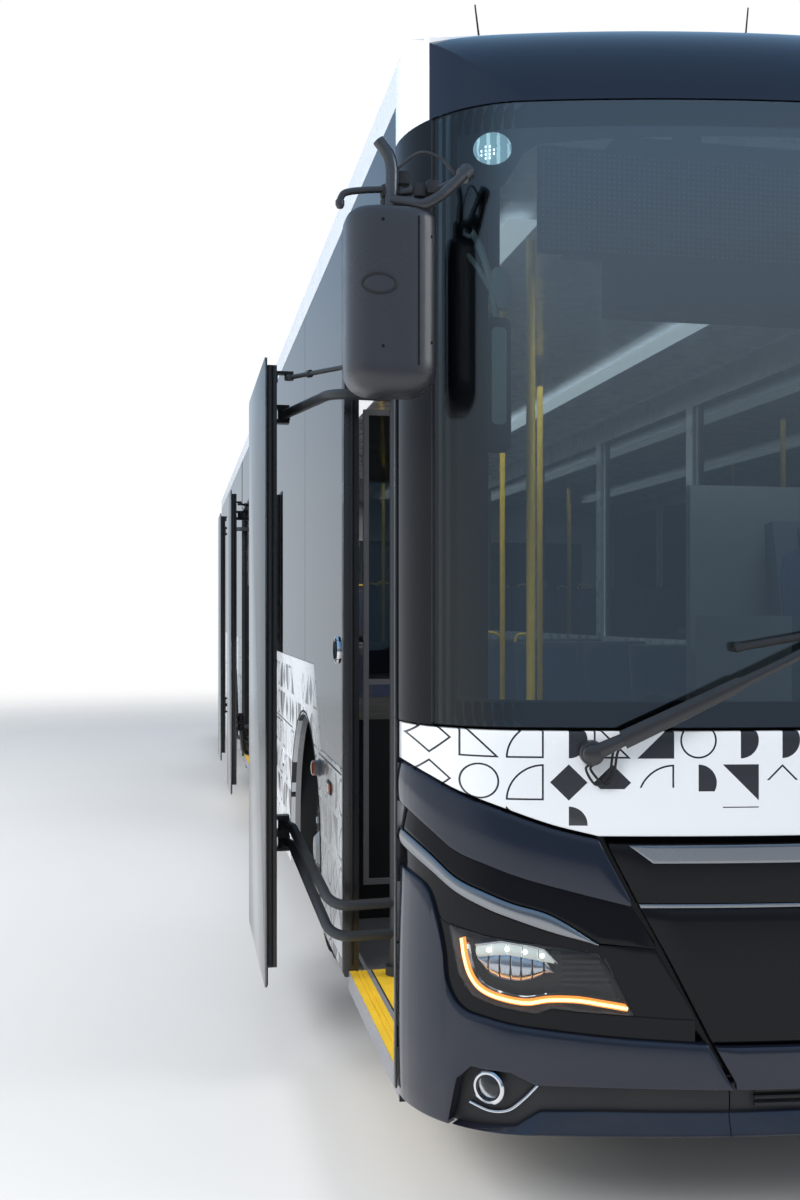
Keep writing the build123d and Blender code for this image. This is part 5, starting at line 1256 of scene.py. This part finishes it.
def makeTyre(node, body, centres, centreX, half):
    height = tread["axle"]
    full = height - tread["clear"]
    crown = full - tread["depth"]
    carcasses = []
    for y in centres:
        profile = [(0.289, -0.105), (0.302, -0.11), (0.322, -0.121), (0.345, -0.134), (0.385, -half + 0.001),
                   (0.42, -half + 0.004), (0.444, -half + 0.011), (0.456, -half + 0.016),
                   (0.462, -half + 0.02), (crown, -half + 0.03), (crown + 0.001, -0.05)]
        profile += [(r, -h) for r, h in reversed(profile)]
        inner = [(crown - 0.012, 0.1), (0.4, 0.122), (0.319, 0.095), (0.319, -0.095), (0.4, -0.122),
                 (crown - 0.012, -0.1)]
        carcasses.append(turnedShape(profile + inner, (centreX, y, height), (0, 1, 0), 96, per=1))
    piece(node + "Carcass", carcasses, tyreRubber, body=body, replaces=(node,))
    pitch = 2 * math.pi * full / tread["blocks"]
    blocks = []
    for k, (middle, wide) in enumerate(zip(tread["ribs"], tread["wide"])):
        shift = pitch / 2 if k % 2 else 0.0
        drop = 0.004 if k in (0, 4) else 0.0
        long = pitch * tread["share"] / 2
        points, faces = boxShape((-tread["depth"] - 0.006 - drop, shift - long, middle - wide / 2),
                                 (-drop, shift + long, middle + wide / 2))
        bent = []
        for p in points:
            r, turn = p.x + full, (p.y + 0.2 * (p.z - middle)) / full
            bent.append(Vector((r * math.cos(turn) - full, r * math.sin(turn), p.z)))
        blocks.append((bent, faces))
    shared = {"turn": (90, 0, 0), "body": body}
    rib = boxShape((-0.018, -0.0016, -0.0045), (0.018, 0.0016, 0.0045))
    for k, y in enumerate(centres):
        repeated(node + "Tread" + str(k), joined(blocks), tread["blocks"], tyreRubber, (centreX, y, height),
                 radius=full, **shared)
        for way, letter in ((-1, "a"), (1, "b")):
            repeated(node + "Shoulder" + str(k) + letter, rib, 120, tyreRubber,
                     (centreX, y + way * (half - 0.0045), height), radius=0.424, **shared)


def makeWheels():
    for side, name in ((-1, "right"), (1, "left")):
        front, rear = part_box("tyre_front_" + name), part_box("tyres_rear_" + name)
        low, high = sorted((abs(front[0].y), abs(front[1].y)))
        half, plane = (high - low) / 2, (high + low) / 2
        inner = min(abs(rear[0].y), abs(rear[1].y)) + half
        for tyre, wheel, box, planes in (("tyre_front_", "wheel_front_", front, (plane,)),
                                         ("tyres_rear_", "wheels_rear_", rear, (plane, inner))):
            makeTyre(tyre + name, wheel + name, [side * y for y in planes], (box[0].x + box[1].x) / 2, half)
        for wheel in ("wheel_front_", "wheels_rear_"):
            dressed(wheel + name + "Form", wheel + name, wheelSteel, angle=35)


# Kerb and driver side details
def flatDisc(centre, axis, radius, thick, sides=24, lip=1.2):  # radius, thick and lip in millimetres
    low, edge = thick - lip, radius - lip
    return turnedShape([(0, thick), (edge, thick), (radius, low), (radius, -4), (0, -4)], centre, axis,
                        sides)


sidePlaces = {
    "markers": {-1: (4.33, 1.9, 0.62, -3.62, -5.25), 1: (4.6, 1.9, 0.2, -3.62, -5.25)},
    "reflectors": {-1: (1.25, 0.75, -1.9, -4.4), 1: (1.25, -0.05, -1.9, -4.4)},
    "gaps": {-1: (2.62, 1.72, 0.9, -1.7, -3.4, -4.3, -5.2),
             1: (4.75, 2.7, 1.8, 0.9, 0.0, -0.9, -1.8, -3.4, -4.3, -5.2)},
    "runs": {-1: ((-5.97, -3.2), (-2.1, -1.49), (-0.11, 2.95), (4.0, 4.64)),
             1: ((-5.97, -3.2), (-2.1, 2.95), (4.0, 5.6))},
}


def makeButtons():
    out, face = (0, -1, 0), -halfWidth
    at, stopAt, lampAt = (4.546, face, 1.381), (0.1, face, 1.381), (4.03, face, 0.905)
    ring = turnedShape([(31, -2), (31, 8), (38, 11), (47, 8), (49, -2)], at, out, 36)
    piece("doorButtonRing", ring, chrome)
    tip = turnedShape([(0, 35), (12, 34.5), (24, 32), (29, 28), (30, 22), (0, 22)], lampAt, out, 28)
    piece("doorLampLens", tip, amberLens)
    base = turnedShape([(0, 22), (29, 22), (30, 8), (34, 4), (35, -2), (0, -2)], lampAt, out, 28)
    piece("doorLampBase", base, alloyGrey, slot="lamp")
    piece("doorButton", flatDisc(at, out, 30.5, 7), blackPlastic)
    stop = turnedShape([(17, -2), (17, 5), (21, 7), (25, 5), (26, -2)], stopAt, out, 36)
    piece("stopButtonRing", stop, chrome)
    piece("stopButton", flatDisc(stopAt, out, 16.5, 4), blackPlastic)


def makeSides():
    makeButtons()
    for side, tag in tags.items():
        face = side * halfWidth

        def strip(x, z, width, height, radius, thick, off=0.0):
            return roundedPlate((x, face + side * off, z), width, height, radius, side * thick, axis=1)

        def line(low, high, proud):
            near, far = sorted((face, face + side * proud))
            return boxShape((low[0], near, low[1]), (high[0], far, high[1]))

        markers = sidePlaces["markers"][side]
        bases = [strip(x, 0.872, 0.118, 0.048, 0.02, 0.0035) for x in markers]
        lenses = [strip(x, 0.872, 0.094, 0.032, 0.015, 0.006, 0.003) for x in markers]
        reflectors = [strip(x, 0.46, 0.095, 0.03, 0.006, 0.0025) for x in sidePlaces["reflectors"][side]]
        eased("markerBases_" + tag, bases, blackPlastic, bevel=0.001)
        eased("markerLenses_" + tag, lenses, amberLens)
        eased("sideReflectors_" + tag, reflectors, amberLens, bevel=0.0008)
        runs = sidePlaces["runs"][side]
        seams = [line((x - 0.0025, 0.31), (x + 0.0025, 0.96), 0.0006) for x in sidePlaces["gaps"][side]]
        seams += [line((a, 0.957), (b, 0.963), 0.0008) for a, b in runs]
        piece("skirtSeams_" + tag, seams, blackPlastic, smooth=0)
        screw = flatDisc((0, 0, 0), (0, side, 0), 6, 1.2, 10, 0.6)
        for k, (a, b) in enumerate(runs):
            count = max(2, int((b - a) / 0.225))
            repeated("skirtScrews_" + tag + str(k), screw, count, satinSteel, (a + 0.06, face, 0.335),
                     step=((b - a - 0.12) / (count - 1), 0, 0), slot="charcoal")
        for node, x in (("front", frontAxleX), ("rear", rearAxleX)):
            turns = [math.pi * k / 48 for k in range(49)]
            rim = [(x + 0.6 * math.cos(t), face - side * 0.004, 0.48 + 0.6 * math.sin(t)) for t in turns]
            piece("archLip_" + node + tag, tubeShape(rim, 0.007, 8), rubber)


# Tail
tail = {"lampY": 1.08, "lamps": ((1.16, 58), (1.022, 58), (0.884, 58), (0.772, 40))}  # height, radius in mm


def makeTail():
    back = (-1, 0, 0)
    for side, tag in tags.items():
        y = side * tail["lampY"]
        tray = roundedPlate((-6.085, y, 0.975), 0.138, 0.548, 0.035, 0.02)
        eased("tailTray_" + tag, tray, glossBlack, bevel=0.003)
        for k, ((z, r), material) in enumerate(zip(tail["lamps"], (amberLens, redLens, redLens, clearLens))):
            at = (-6.084, y, z)
            ring = turnedShape([(r - 4, 0), (r - 3, 9), (r, 11), (r + 4, 8), (r + 4, -2)], at, back, 36)
            piece("tailRing_" + tag + str(k), ring, chrome)
            dome = turnedShape([(0, 13), (r * 0.5, 12), (r * 0.85, 8), (r - 4, 3), (r - 4, -2), (0, -2)], at,
                                back, 36)
            piece("tailLens_" + tag + str(k), dome, material)
            dot = turnedShape([(0, 2.2), (4, 1.4), (5, -1), (0, -1)], (0, 0, 0), (0, 0, 1), 8)
            for reach, count in ((r * 0.35, 7), (r * 0.68, 14)):
                proud = 0.0135 * (1 - (reach / r) ** 2 * 0.45)
                repeated("tailDots_" + tag + str(k) + str(count), dot, count, material,
                         (-6.084 - proud, y, z), radius=reach / 1000, turn=(0, -90, 0))
        eased("highTray_" + tag, roundedPlate((-6.086, y, 2.62), 0.135, 0.112, 0.03, 0.02), glossBlack,
              bevel=0.003)
        dome = turnedShape([(0, 11), (20, 10), (36, 6), (43, 0), (43, -4), (0, -4)],
                           (-6.087, y, 2.62), back, 32)
        piece("highLens_" + tag, dome, redLens)
        reflector = roundedPlate((-6.1, side * 0.8, 0.41), 0.1, 0.045, 0.008, -0.004)
        eased("rearReflector_" + tag, reflector, redLens, bevel=0.001)
    eased("rearPlate", roundedPlate((-6.1, 0, 0.395), 0.52, 0.112, 0.01, -0.004), plateWhite, bevel=0.001)
    for letter, y in (("A", -0.16), ("B", 0.16)):
        box = boxShape((-6.111, y - 0.03, 0.462), (-6.098, y + 0.03, 0.474))
        eased("plateLamp" + letter, box, blackPlastic, bevel=0.002)
    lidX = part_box("engine_lid")[0].x
    onLid = {"body": "engine_lid", "slot": "black_plastic"}
    dressed("engineLidSkin", "engine_lid", whitePaint, bevel=0.002, angle=50)
    recess = roundedPlate((lidX + 0.0055, 0, 0.93), 1.7, 0.6, 0.03, 0.0035)
    eased("grilleBed", recess, blackPlastic, bevel=0.0008, **onLid)
    points, faces = boxShape((-0.001, -0.82, -0.0045), (0.004, 0.82, 0.0045))
    slat = ([Vector((p.x + p.z * 0.5, p.y, p.z)) for p in points], faces)
    repeated("grilleSlats", slat, 23, charcoalPaint, (lidX + 0.0036, 0, 0.662), step=(0, 0, 0.0245), **onLid)
    post = boxShape((0, -0.006, -0.285), (0.004, 0.006, 0.285))
    repeated("grillePosts", post, 5, blackPlastic, (lidX + 0.0006, -0.656, 0.93), step=(0, 0.328, 0), **onLid)
    grip = roundedPlate((lidX + 0.0045, 0, 0.545), 0.17, 0.045, 0.02, -0.004)
    eased("lidGrip", grip, blackPlastic, **onLid)


# Roof
def makeRoof():
    masts = []
    for y, z, tipY, tipZ in ((-1.026, 3.0, -1.043, 3.131), (-0.274, 3.01, -0.256, 3.2)):
        x = 5.55
        masts.append(tubeShape([(x, y, z), (x, (y + tipY) / 2, (z + tipZ) / 2), (x, tipY, tipZ)],
                               [0.0035, 0.0028, 0.0022], 8))
        masts.append(turnedShape([(0, 36), (8, 34), (11, 26), (22, 10), (26, 0), (26, -20), (0, -20)],
                                 (x, y, z), (0, 0, 1), 20))
    piece("antennas", masts, blackPlastic)
    low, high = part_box("roof_unit")
    dressed("roofUnitShell", "roof_unit", whitePaint, bevel=0.012, angle=50)
    for k in range(3):
        at = Vector((low.x + 0.5 + 0.62 * k, 0, high.z - 0.0045))
        ring = turnedShape([(205, -6), (205, 0), (215, 4), (235, 0), (235, -6)], at, (0, 0, 1), 48)
        piece("fanRing" + str(k), ring, blackPlastic)
        piece("fanBed" + str(k), flatDisc(at, (0, 0, 1), 206, 1, 48), glossBlack, slot="black_plastic")
        blade = boxShape((-0.095, -0.016, 0.0), (0.095, 0.016, 0.0018))
        repeated("fanBlades" + str(k), blade, 7, charcoalPaint, (at.x, 0, high.z - 0.0035), radius=0.105)
    for side, tag in tags.items():
        points, faces = boxShape((-0.014, 0.0, -0.05), (0.014, 0.003, 0.05))
        slat = ([Vector((p.x, p.y * side, p.z)) for p in points], faces)
        repeated("unitLouvres_" + tag, slat, 36, charcoalPaint, (low.x + 0.45, side * (0.8735 - 0.001), 3.09),
                 step=(0.05, 0, 0))
    for name in ("roof_hatch_front", "roof_hatch_rear"):
        dressed(name + "Skin", name, greyPlastic, bevel=0.006, angle=50)
    seams = [boxShape((x - 0.012, -0.95, 3.0195), (x + 0.012, 0.95, 3.0228))
             for x in (-4.9, -2.6, -1.2, 0.4, 4.9)]
    piece("roofJoints", seams, rubber, smooth=0)


amberLens = finish("amberLens", (0.75, 0.17, 0.012), 0.12, coat=0.6, spread=0.1, scale=30.0)
redLens = finish("redLens", (0.42, 0.01, 0.01), 0.12, coat=0.6, spread=0.1, scale=30.0)
clearLens = finish("clearLens", (0.62, 0.64, 0.66), 0.1, coat=0.6, spread=0.1, scale=30.0)
plateWhite = finish("plateWhite", (0.7, 0.7, 0.68), 0.35, spread=0.04)
makeWheels()
print("wheels")
makeSides()
makeTail()
makeRoof()
print("sides, tail and roof")


# Stuffed pads: crowned closed forms with a stitched seam
def padShape(centre, along, across, length, width, thick, cells=(16, 14)):
    along, across = Vector(along).normalized(), Vector(across).normalized()
    out = across.cross(along).normalized()
    front, back = [], []
    for i in range(cells[0] + 1):
        frontRow, backRow = [], []
        for j in range(cells[1] + 1):
            a, b = (math.sin(math.pi / 2 * (2 * k / n - 1)) for k, n in ((i, cells[0]), (j, cells[1])))
            a, b = a * math.sqrt(1 - 0.28 * b * b) * 1.06, b * math.sqrt(1 - 0.28 * a * a) * 1.06
            a, b = max(-1, min(1, a)), max(-1, min(1, b))
            rise = (1 - abs(a) ** 5) * (1 - abs(b) ** 5)
            dip = sum(math.exp(-((abs(v) - seating["seam"]) / 0.045) ** 2) for v in (a, b)) * 0.13
            middle = 1 - 0.1 * math.exp(-(a * a + b * b) / 0.2)
            height = thick * max(0.0, rise) ** 0.5 * middle - thick * min(dip, 0.2) * rise
            at = Vector(centre) + along * a * length / 2 + across * b * width / 2
            frontRow.append(at + out * (height + 0.002))
            backRow.append(at - out * seating["sink"])
        front.append(frontRow)
        back.append(backRow)
    return shellShape(front, back)


seating = {"floorLow": 0.32, "floorHigh": 0.8, "cushion": 0.034, "back": 0.03, "fill": 0.55, "seam": 0.74,
           "sink": 0.006}
four, floorLow, floorHigh = (-0.98, -0.52, 0.52, 0.98), seating["floorLow"], seating["floorHigh"]
seatRows = [
    (frontAxleX - 0.825, floorLow, (-0.98, 0.98)), (frontAxleX - 1.625, floorLow, four),
    (frontAxleX - 2.425, floorLow, (0.52, 0.98)), (rearAxleX - 0.7, floorHigh, four),
    (rearAxleX - 1.45, floorHigh, four), (rearAxleX - 2.2, floorHigh, four),
    (-5.5, floorHigh, (-0.98, -0.49, 0.0, 0.49, 0.98)),
]


def pad(name, centre, along, length, width, thick, cells=(16, 14)):
    obj = piece(name, padShape(centre, along, (0, -1, 0), length, width, thick, cells=cells), seatCloth,
                smooth=60)


def makeSeats():
    count = 0
    for x, z, places in seatRows:
        for y in places:
            count += 1
            pad("seatCushion" + str(count), (x - 0.212, y, z + 0.4515), (1, 0, 0.0526), 0.36, 0.395,
                seating["cushion"], cells=(12, 12))
            pad("seatBack" + str(count), (x - 0.4445, y, z + 0.735), (-0.1414, 0, 0.99), 0.49, 0.395,
                seating["back"], cells=(14, 12))
    dressed("seatShells", "seats", seatShell, bevel=0.006, angle=30)
    grips = []
    for x, z, places in seatRows[:-1]:
        for y in (place for place in places if abs(place) < 0.6):
            run = [(x - back, y - math.copysign(inward, y), z + 1.0 + up) for back, inward, up in (
                (0.505, 0.2, -0.12), (0.515, 0.2, 0.03), (0.5, 0.15, 0.055), (0.5, 0.08, 0.03))]
            grips.append(tubeShape(smoothRun(run, 4), 0.011, 8))
    piece("seatGrips", grips, railYellow)


def makeDriverSeat():
    x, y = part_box("driver_seat")[0].x + 0.17, 0.62
    flat, leaning = (1, 0, 0.022), (-0.169, 0, 0.986)
    dressed("driverSeatShell", "driver_seat", seatShell, bevel=0.014, angle=30, slot="seat_fabric")
    pad("driverCushion", (x + 0.225, y, 1.146), flat, 0.45, 0.46, 0.052)
    pad("driverBack", (x - 0.032, y, 1.47), leaning, 0.58, 0.44, 0.048)
    for k, aside in enumerate((0.412, 0.828)):
        pad("driverBolster" + str(k), (x + 0.24, aside, 1.152), flat, 0.42, 0.07, 0.062)
    pad("driverHead", (x - 0.073, y, 1.775), leaning, 0.15, 0.27, 0.05)
    belt = smoothRun([(x - 0.165, 0.872, 1.7), (x - 0.145, 0.872, 1.35), (x - 0.08, 0.868, 1.1)], 6)
    piece("driverBeltGuide", tubeShape(belt, 0.008, 8), blackPlastic)


# Cab
def makeCab():
    dressed("dashShell", "dashboard", dashPlastic, bevel=0.016, angle=30)
    dressed("wheelForm", "steering_wheel", blackPlastic, bevel=0.002, angle=50)
    tilt = math.radians(41)
    boss = turnedShape([(0, 20), (35, 19), (52, 13), (58, 4), (58, -10), (0, -10)],
                       (5.258, 0.62, 1.178), (-math.sin(tilt), 0, math.cos(tilt)), 36)
    piece("wheelBoss", boss, greyPlastic, body="steering_wheel", slot="black_plastic")
    middle, deep = Vector((5.6, 0.62, 1.16)), Vector((0.13, 0, 0))
    hood = smoothRun([(5.61, 0.4, 1.245), (5.57, 0.42, 1.315), (5.55, 0.5, 1.352), (5.545, 0.62, 1.362),
                      (5.55, 0.74, 1.352), (5.57, 0.82, 1.315), (5.61, 0.84, 1.245)], 5)
    rows = []
    for p in hood:
        inner = middle + (p - middle) * 0.93
        rows.append([p, p + deep + Vector((0, 0, 0.012)), inner + deep, inner])
    points, faces = gridShape(rows, wrapColumns=True)
    end = len(points) - 1
    piece("clusterHood", (points, faces + [(0, 1, 2, 3), (end, end - 1, end - 2, end - 3)]), dashPlastic)
    panel = plateShape([(5.655 - b * 0.25, 0.62 + a, 1.275 + b) for a, b in roundedLoop(0.37, 0.125, 0.03)],
                       (0.012, 0, 0))
    eased("clusterPanel", panel, glossBlack, bevel=0.002, slot="black_plastic")
    face = Vector((-1, 0, -0.25)).normalized()
    for k, y in enumerate((0.52, 0.72)):
        at = (5.653, y, 1.275)
        ring = turnedShape([(43, 0), (43, 4), (47, 6), (50, 3), (50, -3)], at, face, 36)
        piece("dialRing" + str(k), ring, chrome)
        mark = boxShape((-0.003, -0.0008, 0.001), (0.003, 0.0008, 0.0022))
        repeated("dialMarks" + str(k), mark, 30, whiteGlow, at, radius=0.039,
                 turn=(0, -math.degrees(math.acos(face.z)), 0))
    button = boxShape((-0.004, -0.013, -0.009), (0.004, 0.013, 0.009))
    for k, z in enumerate((1.1, 1.135)):
        repeated("dashButtons" + str(k), button, 7, greyPlastic, (5.452 + 0.1 * k / 3, 0.9, z),
                 step=(0, 0.036, 0), slot="black_plastic")
    eased("fareBox", boxShape((5.42, 0.1, 1.16), (5.6, 0.32, 1.42)), dashPlastic, bevel=0.02)
    farePlate = roundedPlate((5.418, 0.21, 1.32), 0.17, 0.11, 0.012, -0.004)
    eased("fareScreen", farePlate, glossBlack, bevel=0.001, slot="black_plastic")
    eased("sunBlind", roundedPlate((5.8, 0.68, 2.13), 0.72, 0.19, 0.02, 0.006), greyPlastic, bevel=0.002)
    for k, y in enumerate((-0.62, 0.62)):
        strip = boxShape((-5.2, y - 0.055, 2.886), (4.6, y + 0.055, 2.905))
        eased("ceilingLight" + str(k), strip, ceilingGlow, bevel=0.006)
    dressed("cabDoorSkin", "cab_door", greyPlastic, bevel=0.008)


seatCloth = finish("seatCloth", (0.04, 0.055, 0.105), 0.85, spread=0.35, scale=26.0, grain=0.9,
                   grainScale=850.0)
dashPlastic = finish("dashPlastic", (0.028, 0.03, 0.034), 0.55, spread=0.15, scale=6.0, grain=0.6,
                     grainScale=650.0)
ceilingGlow = glow("ceilingGlow", (0.95, 0.97, 1.0), 0.9)
makeSeats()
makeDriverSeat()
makeCab()
print("interior")


makeStage()
print("stage")
